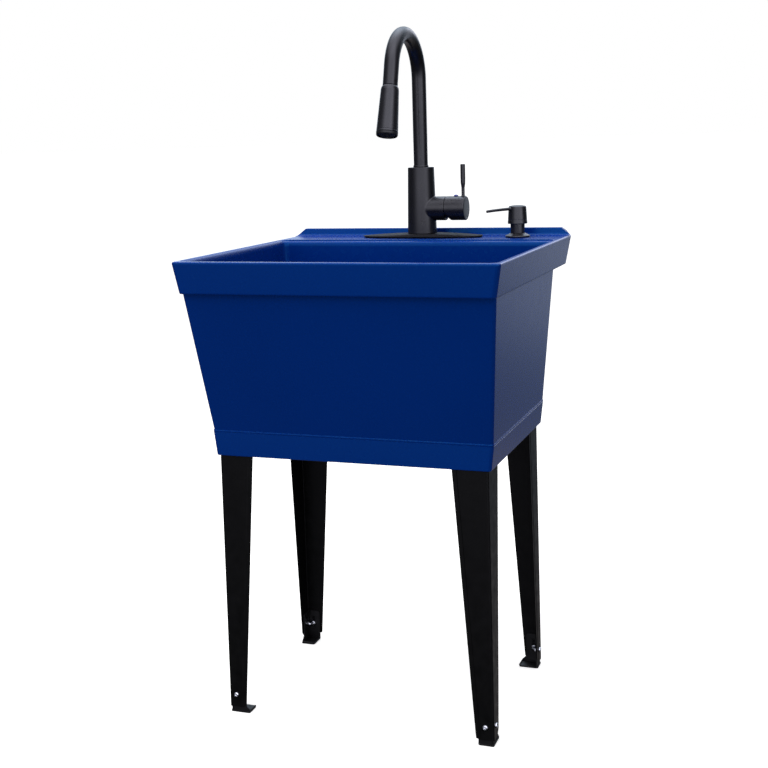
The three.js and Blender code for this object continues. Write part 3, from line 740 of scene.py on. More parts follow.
# ---------------------------------------------------------------------- legs
def leg_section(z, width, flip):
    """Angle section at one height: bent corner, flanges with a hemmed free edge."""
    s = SPLAY * (z - 11)
    w, t, rb = width, 2.0, 3.4
    half = [
        (w - 0.1, t - 0.35),
        (w, t - 0.8),
        (w, 0.95),
        (w - 0.35, 0.55),
        (w - 7.4, 0.55),
        (w - 8.1, 0.45),
        (w - 8.7, 0.1),
        (w - 9.4, 0.0),
        (w * 0.5, 0.0),
        (rb + 0.6, 0.0),
    ]
    bend = [
        (rb - rb * math.sin(PI / 2 * i / 8), rb - rb * math.cos(PI / 2 * i / 8))
        for i in range(9)
    ]
    inner_bend = [
        (t + 1.4 - 1.4 * math.sin(PI / 2 * i / 6), t + 1.4 - 1.4 * math.cos(PI / 2 * i / 6))
        for i in range(7)
    ]
    out = half + bend + [(b, a) for a, b in reversed(half)]
    out += [(t, w - 0.4), (t, w * 0.5)]
    out += [(b, a) for a, b in inner_bend] if False else [(b, a) for a, b in inner_bend]
    out += [(w * 0.5, t), (w - 0.4, t)]
    return [(x + s, y + s, z) for x, y in out]


def leg_width(z):
    return 34.3 + 30 / 464 * (z - 30)


for where, (lx, ly, deg) in LEG.items():
    m = T(lx, ly, 0) @ R(deg, "Z")
    side_y = where in ("front_left", "rear_right")  # which flange faces sideways
    rings = []
    for z in (11.0, 11.6, 21.5, 60, 150, 300, 450, 541.8, 542.2):
        w = leg_width(z)
        r = leg_section(z, w - (0.3 if z in (11.0, 542.2) else 0), False)
        if z < 12:
            q = []
            for x, y, zz in r:
                u = y if side_y else x
                v = x if side_y else y
                lift = max(0.0, u - (w - 9.0)) * 1.0
                lift2 = max(0.0, v - (w - 3.0)) * 0.9
                q.append((x, y, zz + lift + lift2))
            r = q
        rings.append(r)
    g = G().loft(rings, "face", "face")
    make("leg_detail_" + where, g.moved(m), LEGM, "sink", ["leg_" + where], sharp=30)

    # levelling foot: bracket flanges with slots, flared base plate with a curled lip
    a0, a1, bt = 2.4, 29.3, 2.5

    def arc(cx, cz, r, d0, d1, n=6):
        return [
            (
                cx + r * math.cos(math.radians(d0 + (d1 - d0) * i / n)),
                cz + r * math.sin(math.radians(d0 + (d1 - d0) * i / n)),
            )
            for i in range(n + 1)
        ]

    out_a = (
        [(a0, 1.2), (39.0, 1.2), (39.2, 3.4)]
        + [(38.2, 6.2), (36.2, 8.2), (33.6, 10.2), (31.4, 13.0), (30.0, 17.0), (29.4, 22.0)]
        + arc(a1 - 7, 55, 7, 0, 90)
        + [(a0, 62)]
    )
    out_b = [(a0, 1.2), (a1, 1.2)] + arc(a1 - 7, 55, 7, 0, 90) + [(a0, 62)]
    shear = Matrix(((1, 0, SPLAY, -SPLAY * 11), (0, 1, SPLAY, -SPLAY * 11), (0, 0, 1, 0), (0, 0, 0, 1)))
    pa = plate(out_a, [slot_outline(14.15, 25.8, 50.2, 3.15)], bt)
    pb = plate(out_b, [slot_outline(16.15, 25.8, 50.2, 3.15)], bt)
    to_xz = Matrix(((1, 0, 0, 0), (0, 0, 1, a0 + bt / 2), (0, 1, 0, 0), (0, 0, 0, 1)))
    to_yz = Matrix(((0, 0, 1, a0 + bt / 2), (1, 0, 0, 0), (0, 1, 0, 0), (0, 0, 0, 1)))
    base = plate(
        [(p[0], p[1]) for p in fillet([(0.8, 0.8, 2), (39.2, 0.8, 3), (39.2, 29.8, 4), (0.8, 29.8, 4)], True, 5)],
        [],
        3.2,
        0.5,
    )
    lip = fillet(
        [(33, 0.3), (37.6, 0.3, 1), (39.4, 1.4, 1), (39.4, 4.6, 0.8), (38.4, 5.6, 0.8), (37.0, 4.4, 1), (36.2, 3.3, 1), (33, 3.0)],
        True,
        3,
    )
    lipg = G().loft(
        [
            [(x, 3.0, z * 0.97 + 0.05) for x, z in lip],
            [(x, 3.8, z) for x, z in lip],
            [(x, 26.6, z) for x, z in lip],
            [(x, 27.4, z * 0.97 + 0.05) for x, z in lip],
        ],
        "face",
        "face",
    )
    g = G()
    g.add(pa, shear @ to_xz)
    g.add(pb, shear @ to_yz)
    g.add(base, T(0, 0, 1.6))
    g.add(lipg)
    make("foot_detail_" + where, g.moved(m), FOOTM, "foot_" + where, ["foot_" + where], sharp=30)

    # screws and nuts
    def pan_head():
        n, rows = 64, 15
        g = G()
        g.v.append((0, 0, 0))
        prev = None
        prof = fillet([(0, -3.0), (2.9, -3.0, 2.4), (4.75, -1.55, 1.2), (4.8, -0.1)], n=6)
        rs = [4.8 * i / rows for i in range(1, rows + 1)]

        def dome(r):
            if r < 2.6:
                z = -3.0 + 0.020 * r * r
            elif r < 4.5:
                z = -2.865 + 0.33 * (r - 2.6) ** 1.75
            else:
                z = -1.85 + (r - 4.5) * 3.6
            return z

        def recess(x, y):
            a, b = sorted((abs(x), abs(y)))
            reach = 2.55
            if b > reach:
                return 0.0
            half = 0.55 + 0.25 * (1 - b / reach)
            if a > half:
                return 0.0
            edge = min(1.0, (half - a) / 0.22)
            deep = 1.7 * (1 - (b / reach) ** 1.6) + 0.25
            return deep * edge

        g.v[0] = (0, 0, dome(0) + recess(0, 0))
        for r in rs:
            ids = []
            for i in range(n):
                x, y = r * math.cos(2 * PI * i / n), r * math.sin(2 * PI * i / n)
                g.v.append((x, y, dome(r) + recess(x, y)))
                ids.append(len(g.v) - 1)
            if prev is None:
                g.f += [(ids[i], ids[(i + 1) % n], 0) for i in range(n)]
            else:
                g.skin(prev, ids)
            prev = ids
        last = g.ring([(4.8 * math.cos(2 * PI * i / n), 4.8 * math.sin(2 * PI * i / n), -0.1) for i in range(n)])
        g.skin(prev, last)
        neck = g.ring([(2.45 * math.cos(2 * PI * i / n), 2.45 * math.sin(2 * PI * i / n), -0.1) for i in range(n)])
        g.skin(last, neck)
        # shank with fine thread ridges
        z, k = 0.4, 0
        prev = neck
        while z < 12.4:
            rad = 2.42 if k % 2 == 0 else 2.12
            cur = g.ring([(rad * math.cos(2 * PI * i / n), rad * math.sin(2 * PI * i / n), z) for i in range(n)])
            g.skin(prev, cur)
            prev, z, k = cur, z + 0.4, k + 1
        end = g.ring([(1.8 * math.cos(2 * PI * i / n), 1.8 * math.sin(2 * PI * i / n), 13.0) for i in range(n)])
        g.skin(prev, end)
        g.fan(end, (0, 0, 13.0))
        return g

    face = SPLAY * 24
    seat = face + 2.35 + 2.5 + 0.45
    screw, nut = pan_head(), hexnut(8.2, 0, 4, 2.5)
    lean = math.degrees(math.atan(SPLAY))
    for k, at, turn in (("a", (14, 0), R(-90, "X")), ("b", (0, 16), R(90, "Y"))):
        if k == "a":
            ms = T(14, face - 0.1, 35) @ turn
            mn = T(14, seat, 35) @ turn
        else:
            ms = T(face - 0.1, 16, 35) @ turn
            mn = T(seat, 16, 35) @ turn
        spin = {"front_left": 20, "front_right": 52, "rear_right": 8, "rear_left": 71}[where] + (33 if k == "a" else 0)
        make(f"screw_detail_{k}_{where}", screw.moved(m @ ms @ R(spin, "Z")), ZINC, "sink",
             [f"screw_{k}_{where}"], sharp=40, weighted=False)
        make(f"nut_detail_{k}_{where}", nut.moved(m @ mn @ R(spin * 0.5, "Z")), ZINC, "sink",
             [f"nut_{k}_{where}"], sharp=25)


# --------------------------------------------------------------------- drain
def threads(r_in, r_out, z0, z1, pitch, n=64, n_in=64, chamfer=1.2):
    """A threaded tube from z0 up to z1, its bore plain."""
    prof = [(r_in, z1), (r_in, z0), (r_out - chamfer, z0)]
    z = z0 + chamfer
    while z < z1 - pitch:
        prof += [(r_out, z), (r_out, z + pitch * 0.3), (r_out - pitch * 0.35, z + pitch * 0.5), (r_out - pitch * 0.35, z + pitch * 0.8)]
        z += pitch
    prof += [(r_out - pitch * 0.2, z1)]
    return prof


DRAIN = T(0, DRAIN_Y, 0)
prof = threads(20.5, 24.0, 500, 541, 2.4)
upper = fillet(
    [(23.6, 541), (24.0, 543.0), (32.0, 548.0), (42.2, 548.0, 0.3), (43.0, 549.2, 0.8), (41.0, 550.6, 1.2),
     (30.0, 550.1, 1.5), (22.3, 545.0, 2.0), (20.6, 538.0)], n=4)
make("drain_flange_detail", revolve(prof[1:] + upper + [(20.5, 537)], 64, closed=True).moved(DRAIN), STEEL, "sink",
     ["drain_flange"])
make("drain_gasket_detail", lathe([(24.4, 539.8, .6), (38, 539.8, .8), (38, 542.9, .8), (24.4, 542.9, .6)], 56, True).moved(DRAIN),
     RUBBER, "sink", ["drain_gasket"])
nutg = hexnut(68, 527, 539.6, 24.3, 96)
for i in range(12):
    pass
make("drain_locknut_detail", nutg.moved(DRAIN), BLACKP, "sink", ["drain_locknut"], sharp=25)
basket = lathe(
    [(16.4, 531.0), (18.0, 531.0, 0.8), (19.8, 538.0), (21.7, 545.1, 1.5), (29.7, 550.5, 1.0), (29.7, 552.0, 0.7),
     (27.0, 552.0, 1.0), (19.8, 546.5, 1.5), (18.0, 538.4), (16.4, 532.4)], 56, True)
holes = [circle(0, 0, 0.01, 6)] if False else []
for ring_r, count in ((6.4, 6), (11.2, 12)):
    for i in range(count):
        t = 2 * PI * (i + 0.5 * (ring_r > 8)) / count
        holes.append(circle(ring_r * math.cos(t), ring_r * math.sin(t), 1.7, 14))
disc = plate(circle(0, 0, 17.0, 56), holes, 1.4, 0.2)
knob = lathe([(0, 531.2), (4.0, 531.2, .8), (3.0, 535.0, 1.5), (2.6, 547.0, 1.0), (5.4, 550.4, 1.2), (5.7, 552.4, .8), (5.0, 554.4, 1.2), (0, 555.3)], 32)
basket.add(disc, T(0, 0, 531.8))
basket.add(knob)
make("drain_strainer_detail", basket.moved(DRAIN), STEEL, "strainer", ["drain_strainer"])

# -------------------------------------------------------------------- faucet
FM = T(*FAUCET)
gask = G().loft([superoval(121.4, 30.4, 0.2), superoval(122, 31, 0.5), superoval(122, 31, 1.7), superoval(121.2, 30.2, 2.0)],
                (0, 0, 0.2), (0, 0, 2.0))
make("deck_plate_gasket_detail", gask.moved(FM), RUBBER, "sink", ["deck_plate_gasket"])
rows = [superoval(123.6, 32.4, 2.05), superoval(124.5, 33.2, 2.3), superoval(124.8, 33.5, 3.0), superoval(124.6, 33.4, 3.6),
        superoval(123.8, 32.9, 4.15)]
for i in range(1, 13):
    t = i / 12
    rows.append(superoval(123.8 - 93.3 * t, 32.9 - 2.4 * t - 0.0, 4.15 + 4.05 * (1 - (1 - t) ** 2.0), e=2.3 - 0.3 * t))
pl = G().loft(rows, (0, 0, 2.05), (0, 0, 8.2))
make("deck_plate_detail", pl.moved(FM), PLATE, "sink", ["deck_plate"], sharp=40)

# body: gently tapered, with the side hub blended in
BR0, BR1, BZ0, BZ1 = 29.0, 26.05, 10.0, 137.2


def body_r(z):
    return BR0 + (BR1 - BR0) * (z - BZ0) / (BZ1 - BZ0)


body = lathe(
    [(0, 8.25), (28.2, 8.25, 0.4), (BR0, 9.2, 0.7), (BR1, 136.8), (BR1 - 0.1, 138.2, 0.9), (17.2, 138.2, 0.5), (17.0, 120), (0, 120)],
    96,
)
HUB_Z, HUB_R = 57.0, 23.6
nh = 96


def on_body(r, phi):
    y, z = r * math.cos(phi), r * math.sin(phi)
    rb = body_r(HUB_Z + z) - 0.03
    return math.sqrt(max(rb * rb - y * y, 0.0)), y, z


hub_rings = [[(on_body(HUB_R + 1.6, 2 * PI * i / nh)) for i in range(nh)]]
for k in range(1, 6):
    a = PI / 2 * k / 5
    ring = []
    for i in range(nh):
        phi = 2 * PI * i / nh
        x0 = on_body(HUB_R + 1.6, phi)
        x1 = on_body(HUB_R, phi)
        r = HUB_R + 1.6 * (1 - math.sin(a))
        x = x0[0] + (x1[0] - x0[0]) * (1 - (r - HUB_R) / 1.6) + 1.6 * (1 - math.cos(a))
        ring.append((x, r * math.cos(phi), r * math.sin(phi)))
    hub_rings.append(ring)
for x, r in ((38.0, HUB_R), (50.0, HUB_R), (50.6, HUB_R - 0.15), (51.0, HUB_R - 0.6), (51.0, 20.9), (50.2, 20.3), (49.0, 17.6)):
    hub_rings.append([(x, r * math.cos(2 * PI * i / nh), r * math.sin(2 * PI * i / nh)) for i in range(nh)])
hubg = G().loft(hub_rings, None, None)
body.add(hubg, T(0, 0, HUB_Z))
make("faucet_body_detail", body.moved(FM), MATT, "sink", ["faucet_body"], sharp=35)

HM = FM @ T(0, 0, HUB_Z)
make("cartridge_nut_detail",
     lathe([(12.3, 38.3), (17.2, 38.3), (17.2, 51.2), (20.5, 51.4, .4), (19.8, 53.2, 1), (16.4, 56.4, 2), (12.9, 57.8, .5), (12.3, 57.4, .3)], 64, True)
     .moved(HM @ ALONG_X), MATT, "sink", ["cartridge_nut"])

# handle cap: inner lip cut back at its foot, flat outer disc set in a fine groove
nc_ = 96


def slant(r, phi, off=0.0):
    z = r * math.sin(phi)
    return 51.9 + max(0.0, -3.0 - z) * 0.505 + off, r * math.cos(phi), z


cap_rings = []
for r, off in ((20.9, 0.5), (21.3, 0.12), (21.9, 0.0), (23.0, 0.0), (23.4, 0.15), (23.6, 0.6)):
    cap_rings.append([slant(r, 2 * PI * i / nc_, off) for i in range(nc_)])


def flat_ring(x, r):
    return [(x, r * math.cos(2 * PI * i / nc_), r * math.sin(2 * PI * i / nc_)) for i in range(nc_)]


for x, r in ((72, 23.6), (79.6, 23.6), (80.0, 23.3), (80.4, 23.3), (80.8, 23.6), (90.6, 23.6), (91.5, 23.4), (92.1, 22.9), (92.4, 22.1),
             (92.4, 19.2), (92.05, 18.8), (92.05, 18.4), (92.3, 18.0), (92.35, 9)):
    cap_rings.append(flat_ring(x, r))
inner = [flat_ring(79.5, 6), flat_ring(79.5, 20.3), flat_ring(78.6, 20.9), flat_ring(70, 20.9)]
cap = G()
ids = [cap.ring(r) for r in inner + cap_rings]
for a, b in zip(ids, ids[1:]):
    cap.skin(a, b)
cap.fan(ids[-1], (92.35, 0, 0))
cap.fan(ids[0], (79.5, 0, 0))
# the block that holds the stem
cap.add(lathe([(0, 67.5), (9.2, 67.5, .6), (10, 68.2, .5), (10, 79.6)], 40).moved(ALONG_X))
# seat of the lever rod
cap.add(lathe([(3.3, 22.5), (4.9, 23.0, .3), (4.9, 23.9, .5), (4.1, 24.5, .4), (3.3, 24.5)], 32).moved(T(86, 0, 0)))
make("handle_cap_detail", cap.moved(HM), MATT, "handle", ["handle_cap"], sharp=35)
make("index_plug_detail",
     lathe([(0, 19.4), (2.8, 19.4), (2.8, 23.5), (4.5, 23.5, .2), (4.45, 24.6, .8), (2.9, 26.2, 1.2), (0, 26.55)], 40)
     .moved(HM @ T(71.5, 0, 0)), INDEX, "handle", ["index_plug"])
make("lever_rod_detail",
     lathe([(0, 11), (3.25, 11), (3.25, 40.0, 6), (4.55, 48.5, 6), (4.75, 60), (4.75, 84.6, 1.1), (3.9, 85.7, .8), (0, 85.7)], 40, k=6)
     .moved(HM @ T(86, 0, 0)), MATT, "handle", ["lever_rod"], sharp=50)

# spout: riser, arc and straight run, with a true bore
TIP = math.radians(164)
END = Vector((0, -81.5 + 81.3 * math.cos(TIP), 306.5 + 81.3 * math.sin(TIP)))
DIR = Vector((0, -math.sin(TIP), math.cos(TIP)))
JOINT = END + DIR * 40
path = [(0, 0, 103.0 + (306.5 - 103.0) * i / 10) for i in range(10)]
path += [(0, -81.5 + 81.3 * math.cos(TIP * i / 72), 306.5 + 81.3 * math.sin(TIP * i / 72)) for i in range(73)]
path += [tuple(END + DIR * d) for d in (8, 16, 24, 32, 39.4, 39.8, 40.0)]
nt_ = 56
outer, bore = [], []
for i, p in enumerate(path):
    a, b = path[max(i - 1, 0)], path[min(i + 1, len(path) - 1)]
    t = (Vector(b) - Vector(a)).normalized()
    u = t.cross(Vector((1, 0, 0))).normalized()
    ro = 14.0 - (0.25 if i in (0, len(path) - 2) else 0.75 if i == len(path) - 1 else 0)
    for store, rad in ((outer, ro), (bore, 12.0)):
        store.append([tuple(Vector(p) + Vector((1, 0, 0)) * (rad * math.cos(2 * PI * k / nt_)) + u * (rad * math.sin(2 * PI * k / nt_))) for k in range(nt_)])
sp = G().loft(outer + list(reversed(bore)), loop=True)
make("spout_tube_detail", sp.moved(FM), MATT, "spout", ["spout_tube"], sharp=40)
make("spout_collar_detail",
     lathe([(14.15, 138.6), (14.95, 138.6, .3), (15.1, 139.2, .3), (15.1, 141.4, .4), (14.7, 142.1, .3), (14.15, 142.2)], 72, True)
     .moved(FM), MATT, "spout", ["spout_collar"])

# spray head
SM = FM @ T(*JOINT) @ R(-16, "X")
head = lathe(
    [(6.4, -0.4), (13.2, -0.4, .3), (14.4, -1.1, .6), (16.1, -4.4, 1.6), (16.85, -8.5, 2.5), (18.45, -46), (20.05, -83.4, .3),
     (19.8, -84.0, .2), (19.8, -84.6, .2), (20.15, -85.2, .3), (20.35, -87.4, .4), (19.6, -88.0, .3), (17.3, -88.0), (17.2, -80), (15.6, -80), (13.2, -9), (6.4, -9)],
    96, True)
make("spray_head_detail", head.moved(SM), MATT2, "spray", ["spray_head"], sharp=35)
ringg = lathe([(17.35, -87.6), (19.7, -88.15, .3), (20.1, -89.0, .5), (20.0, -92.0, .8), (18.9, -93.9, .8), (17.9, -94.0, .5), (17.35, -92.4)], 96, True)
face_ = lathe([(0, -91.2), (9, -91.5), (14.0, -91.9, 2), (16.6, -91.2, .6), (17.0, -89.6, .5), (17.0, -84.5), (0, -84.5)], 96)
nub = lathe([(0, -93.2), (0.5, -93.1, .2), (0.85, -92.4, .3), (1.05, -91.0)], 12)
for rad, cnt in ((4.2, 6), (8.2, 12), (12.2, 18)):
    for i in range(cnt):
        t = 2 * PI * (i + 0.5 * (cnt == 12)) / cnt
        face_.add(nub, T(rad * math.cos(t), rad * math.sin(t), 0.0))
face_.add(lathe([(0, -92.6), (1.6, -92.6, .4), (2.2, -91.2), (2.2, -90.8)], 24))
face_.add(ringg)
make("spray_face_detail", face_.moved(SM), BLACKP, "spray", ["spray_face"], sharp=35)
# rocker on the side that faces the riser: two raised pads on one bar
btn = G()
brows = []
for z, top, half, edge in ((-51.9, 18.2, 4.0, 0.6), (-51.3, 19.6, 4.7, 0.9), (-49.6, 20.25, 4.9, 1.2), (-44.5, 20.3, 4.9, 1.2), (-42.2, 19.9, 4.9, 1.2),
                           (-40.0, 19.35, 4.9, 1.2), (-37.8, 19.5, 4.9, 1.2), (-35.5, 19.6, 4.9, 1.2), (-30.4, 19.1, 4.9, 1.2), (-28.7, 18.3, 4.7, 0.9), (-28.1, 17.2, 4.0, 0.6)):
    sec = fillet([(-half, 14.5), (half, 14.5), (half, top, edge), (0, top + 0.35, 6), (-half, top, edge)], True, 5)
    brows.append([(x, y, z) for x, y in sec])
btn.loft(brows, "face", "face")
make("spray_button_detail", btn.moved(SM), BLACKP, "spray_toggle", ["spray_button"], sharp=40)

# under the deck
make("faucet_shank_detail", revolve(threads(12.6, 15.4, -60, -1.0, 2.0) + [(15.2, 19.5), (12.6, 19.5)], 64, closed=True).moved(FM),
     BRASS, "sink", ["faucet_shank"], sharp=25)
make("faucet_washer_detail", lathe([(15.9, -8.1, .3), (29, -8.1, .5), (29, -5.2, .5), (15.9, -5.2, .3)], 64, True).moved(FM),
     STEEL, "sink", ["faucet_washer"])
make("faucet_nut_detail", hexnut(46, -20, -8.3, 15.7, 96).moved(FM), BRASS, "sink", ["faucet_nut"], sharp=25)

# ------------------------------------------------------------ soap dispenser
OM = T(*SOAP)
fl = [p for p in threads(11.0, 13.5, -55, -1.0, 2.0)]
fl = fl[:-1] + fillet([(13.3, -1.0), (13.3, 1.5), (24.2, 1.5, .3), (24.6, 2.5, .5), (23.8, 3.6, .5), (21.5, 4.5, .6), (20.6, 5.1, .5), (17.4, 6.3, 1.0), (15.8, 7.6, .6), (14.2, 8.1, .4), (11.0, 8.1)], n=4)
make("soap_flange_detail", revolve(fl, 72, closed=True).moved(OM), MATT2, "sink", ["soap_flange"], sharp=30)
make("soap_pump_housing_detail",
     lathe([(0, -50), (3.6, -50, .5), (10.6, -46, 1), (10.6, 8.25), (13.9, 8.3, .4), (13.9, 34.2, .8), (13.0, 35.0, .5), (7.8, 35.0, .4), (7.8, 21.6),
            (3.7, 21.2), (3.7, 17), (7.4, 16.4), (7.4, -42), (0, -43)], 64).moved(OM), MATT2, "sink",
     ["soap_pump_housing"])
hd = lathe([(15.3, 26.9), (15.9, 26.2, .3), (18.6, 26.2, .4), (19.15, 27.2, .6), (18.65, 33.2, .2), (18.35, 33.6, .15), (18.35, 34.1, .15), (18.6, 34.5, .2), (17.15, 57.9, 1.2),
            (16.2, 59.9, 1.4), (10, 61.2, 8), (0, 61.6)], 80)
hd_in = lathe([(15.3, 26.9), (15.3, 49.7, .8), (6.0, 50.5), (6.0, 35.8, .4), (3.45, 35.8), (3.45, 44.4), (0, 44.4)], 48)
hd.add(hd_in)
NX = Vector((-0.64, -0.768, 0)).normalized()
up = Vector((0, 0, 1))
side = up.cross(NX).normalized()
ncl = []
for d, z, r in ((13, 55.4, 3.5), (16.2, 55.3, 3.45), (17.6, 55.25, 3.1), (19.5, 55.2, 2.95), (34, 54.9, 2.85), (50, 54.3, 2.75), (63, 53.6, 2.7), (69.5, 53.15, 2.65), (72.1, 52.95, 2.6), (72.6, 52.9, 2.3), (72.6, 52.9, 1.6), (66.5, 53.4, 1.5)):
    ncl.append([tuple(NX * d + up * z + side * (r * math.cos(2 * PI * k / 28)) + up * (r * math.sin(2 * PI * k / 28))) for k in range(28)])
hd.add(G().loft(ncl, "face", "face"))
make("soap_head_detail", hd.moved(OM), MATT2, "soap_nozzle", ["soap_head"], sharp=35)
make("soap_locknut_detail", hexnut(42, -15, -5.2, 13.8, 96).moved(OM), BLACKP, "sink", ["soap_locknut"], sharp=25)
bt_prof = [(0, -148), (26.2, -148, 1.5), (28.2, -145, 2), (28.2, -72.8, 6), (24.6, -63.6, 4), (14, -56, 3), (14, -20, .3), (14.9, -20, .3), (14.9, -23),
           (16.2, -24, .4), (16.4, -26, .4), (14.9, -27), (14.9, -30), (16.2, -31, .4), (16.4, -33, .4), (14.9, -34), (14.9, -37), (16.2, -38, .4), (16.4, -40, .4), (15.2, -41),
           (15.4, -55, 2), (26.2, -62, 4), (30.0, -72, 6), (30.0, -146, 3), (26.5, -150, 2), (12, -150), (9, -148.9), (0, -148.9)]
make("soap_bottle_detail", lathe(bt_prof, 72, k=5).moved(OM), BOTTLE, "sink", ["soap_bottle"], sharp=40)

# ------------------------------------------------------- floor, light, camera
fl_ = G().loft([[(-300000, -300000, 0), (300000, -300000, 0), (300000, 300000, 0), (-300000, 300000, 0)]], "face", None)
floor = make("floor", fl_, FLOORM, None, weighted=False)
floor.location.z = -0.0002
floor.visible_glossy = False
floor.visible_diffuse = False

world = bpy.data.worlds.new("studio")
scene.world = world
world.use_nodes = True
wn = world.node_tree
wn.nodes.clear()


def wnode(kind, **inputs):
    n = wn.nodes.new(kind)
    for k, v in inputs.items():
        n.inputs[int(k[1:]) if k[0] == "i" and k[1:].isdigit() else k].default_value = v
    return n


def wmath(op, a, b=None):
    n = wn.nodes.new("ShaderNodeMath")
    n.operation = op
    for i, v in enumerate((a, b)):
        if v is None:
            continue
        if isinstance(v, (int, float)):
            n.inputs[i].default_value = v
        else:
            wn.links.new(v, n.inputs[i])
    return n.outputs[0]


def wcurve(value, points):
    """Piecewise-linear map of a value in -1..1, through a float curve."""
    n = wn.nodes.new("ShaderNodeFloatCurve")
    c = n.mapping
    c.use_clip = False
    cu_ = c.curves[0]
    while len(cu_.points) > 2:
        cu_.points.remove(cu_.points[1])
    top = max(y for _, y in points)
    pts = [((x + 1) / 2, y / top) for x, y in points]
    cu_.points[0].location = pts[0]
    cu_.points[-1].location = pts[-1]
    for q in pts[1:-1]:
        cu_.points.new(*q)
    for q in cu_.points:
        q.handle_type = "VECTOR"
    c.update()
    wn.links.new(wmath("MULTIPLY", wmath("ADD", value, 1.0), 0.5), n.inputs["Value"])
    return wmath("MULTIPLY", n.outputs[0], top)


tc = wn.nodes.new("ShaderNodeTexCoord")
sx = wn.nodes.new("ShaderNodeSeparateXYZ")
wn.links.new(tc.outputs["Generated"], sx.inputs[0])
X_, Y_, Z_ = sx.outputs[0], sx.outputs[1], sx.outputs[2]
# azimuth from the front (-Y) towards +X, and height, each as -1..1
AZ = wmath("DIVIDE", wmath("ARCTAN2", X_, wmath("MULTIPLY", Y_, -1.0)), PI)


def azs(points):
    return wcurve(AZ, [(d / 180, v) for d, v in points])


def els(points):
    return wcurve(Z_, [(math.sin(math.radians(d)), v) for d, v in points])


front_gloss = wmath(
    "MULTIPLY",
    azs([(-180, 0), (-70, 0.02), (-50, 0.08), (-34, 0.45), (-14, 1.2), (20, 1.25), (45, 1.35), (64, 1.7), (72, 1.35), (82, 0.3), (92, 0.02), (180, 0)]),
    els([(-90, 0), (-18, 0.0), (-14, 0.35), (-9, 0.95), (-1, 1.05), (5, 1.6), (14, 1.9), (30, 1.6), (48, 1), (70, 0.8), (90, 0.8)]),
)
rear_az = azs([(-180, 1), (-155, 1), (-130, 0.35), (-100, 0.03), (0, 0), (110, 0.02), (135, 0.15), (155, 0.7), (168, 1), (180, 1)])
rear_gloss = wmath("MULTIPLY", rear_az,
                   els([(-90, 0), (-18.5, 0), (-16, 0.13), (-14, 0.19), (-12, 0.225), (-10.3, 0.30), (-8, 0.30), (0, 0.36), (10, 0.42), (18, 0.55), (28, 1.3), (60, 1.8), (90, 1.5)]))
left_gloss = wmath("MULTIPLY", azs([(-180, 0), (-160, 0), (-157, 0.6), (-154, 1.5), (-146, 1.8), (-136, 0.6), (-128, 0), (180, 0)]),
                   els([(-90, 0), (0, 0), (2.5, 0.9), (6, 1), (12, 0.8), (20, 0), (90, 0)]))
rear_low = wmath("MULTIPLY", rear_az, els([(-90, 0.3), (-25, 0.34), (-19, 0.31), (-16.5, 0.10), (-14.5, 0.0), (90, 0)]))
corner_gloss = wmath("MULTIPLY", azs([(-180, 1.4), (-174, 0.5), (-170, 0), (160, 0), (166, 1.2), (172, 1.6), (180, 1.4)]),
                     els([(-90, 0), (-12, 0), (-10.4, 0.09), (-9.2, 0.16), (-8.6, 0.2), (-7, 0.12), (-1, 0.3), (4, 0.5), (10, 1.2), (24, 1.2), (32, 0), (90, 0)]))
top_gloss = els([(-90, 0), (35, 0), (50, 1.2), (65, 1.8), (90, 1.6)])
diffuse_level = els([(-90, 0.34), (-20, 0.40), (0, 0.46), (30, 0.55), (90, 0.75)])


def background(level, tint=(1, 1, 1)):
    n = wn.nodes.new("ShaderNodeBackground")
    n.inputs["Color"].default_value = (*tint, 1)
    if isinstance(level, (int, float)):
        n.inputs["Strength"].default_value = level
    else:
        wn.links.new(level, n.inputs["Strength"])
    return n.outputs[0]


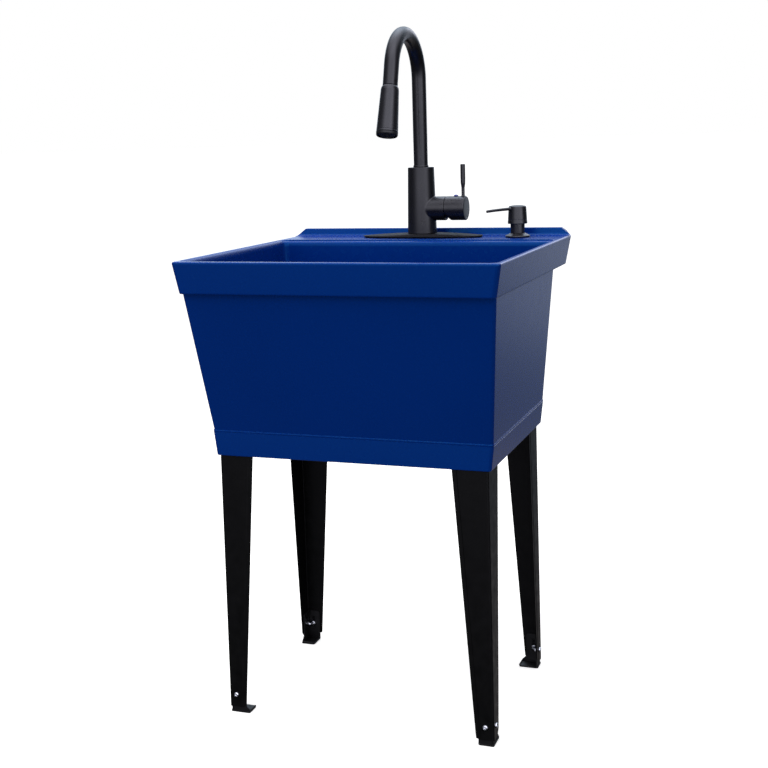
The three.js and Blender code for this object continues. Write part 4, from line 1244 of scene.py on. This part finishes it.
wo = wn.nodes.new("ShaderNodeOutputWorld")
lp = wn.nodes.new("ShaderNodeLightPath")
m1 = wn.nodes.new("ShaderNodeMixShader")
m2 = wn.nodes.new("ShaderNodeMixShader")
wn.links.new(lp.outputs["Is Glossy Ray"], m1.inputs[0])
wn.links.new(background(diffuse_level), m1.inputs[1])
gloss = wn.nodes.new("ShaderNodeAddShader")
wn.links.new(background(wmath("ADD", wmath("ADD", front_gloss, top_gloss), corner_gloss), (0.98, 0.98, 1.14)), gloss.inputs[0])
gloss_rear = wn.nodes.new("ShaderNodeAddShader")
wn.links.new(background(wmath("ADD", rear_gloss, left_gloss), (0.80, 0.97, 1.17)), gloss_rear.inputs[0])
wn.links.new(background(rear_low, (1.02, 0.96, 0.98)), gloss_rear.inputs[1])
wn.links.new(gloss_rear.outputs[0], gloss.inputs[1])
wn.links.new(gloss.outputs[0], m1.inputs[2])
wn.links.new(lp.outputs["Is Camera Ray"], m2.inputs[0])
wn.links.new(m1.outputs[0], m2.inputs[1])
wn.links.new(background(1.0), m2.inputs[2])
wn.links.new(m2.outputs[0], wo.inputs[0])


def area(name, at, to, size, power, sy=None):
    li = bpy.data.lights.new(name, "AREA")
    li.shape = "RECTANGLE"
    li.size, li.size_y, li.energy = size, sy or size, power
    ob = bpy.data.objects.new(name, li)
    scene.collection.objects.link(ob)
    ob.location = at
    ob.rotation_mode = "QUATERNION"
    ob.rotation_quaternion = (Vector(to) - Vector(at)).to_track_quat("-Z", "Y")
    ob.visible_glossy = False
    return ob


area("top_softbox", (-0.5, 0.1, 3.3), (0, 0, 0.7), 2.4, 58)
area("left_softbox", (-2.4, -2.2, 1.9), (0, 0, 0.9), 1.4, 8.5, 2.2)
area("front_softbox", (-0.2, -2.0, 2.9), (0, 0.1, 0.75), 1.6, 18)

cam = bpy.data.cameras.new("camera")
cam.sensor_width = 36.0
cam.sensor_fit = "HORIZONTAL"
FPX = 1250.32234
cam.lens = FPX / 768 * 36
cam.clip_start, cam.clip_end = 0.05, 2000
cob = bpy.data.objects.new("camera", cam)
scene.collection.objects.link(cob)
ya, pi_, ro = (math.radians(a) for a in (20.00442, 11.06831, -1.7376))
d = Vector((-math.sin(ya) * math.cos(pi_), math.cos(ya) * math.cos(pi_), -math.sin(pi_)))
right = Vector((math.cos(ya), math.sin(ya), 0))
upv = right.cross(d)
r2 = right * math.cos(ro) + upv * math.sin(ro)
u2 = upv * math.cos(ro) - right * math.sin(ro)
mat = Matrix((r2, u2, -d)).transposed().to_4x4()
mat.translation = Vector((779.14726, -2166.64188, 1041.69337)) * 1e-3
cob.matrix_world = mat
scene.camera = cob
scene.view_settings.view_transform = "Standard"
scene.view_settings.look = "None"
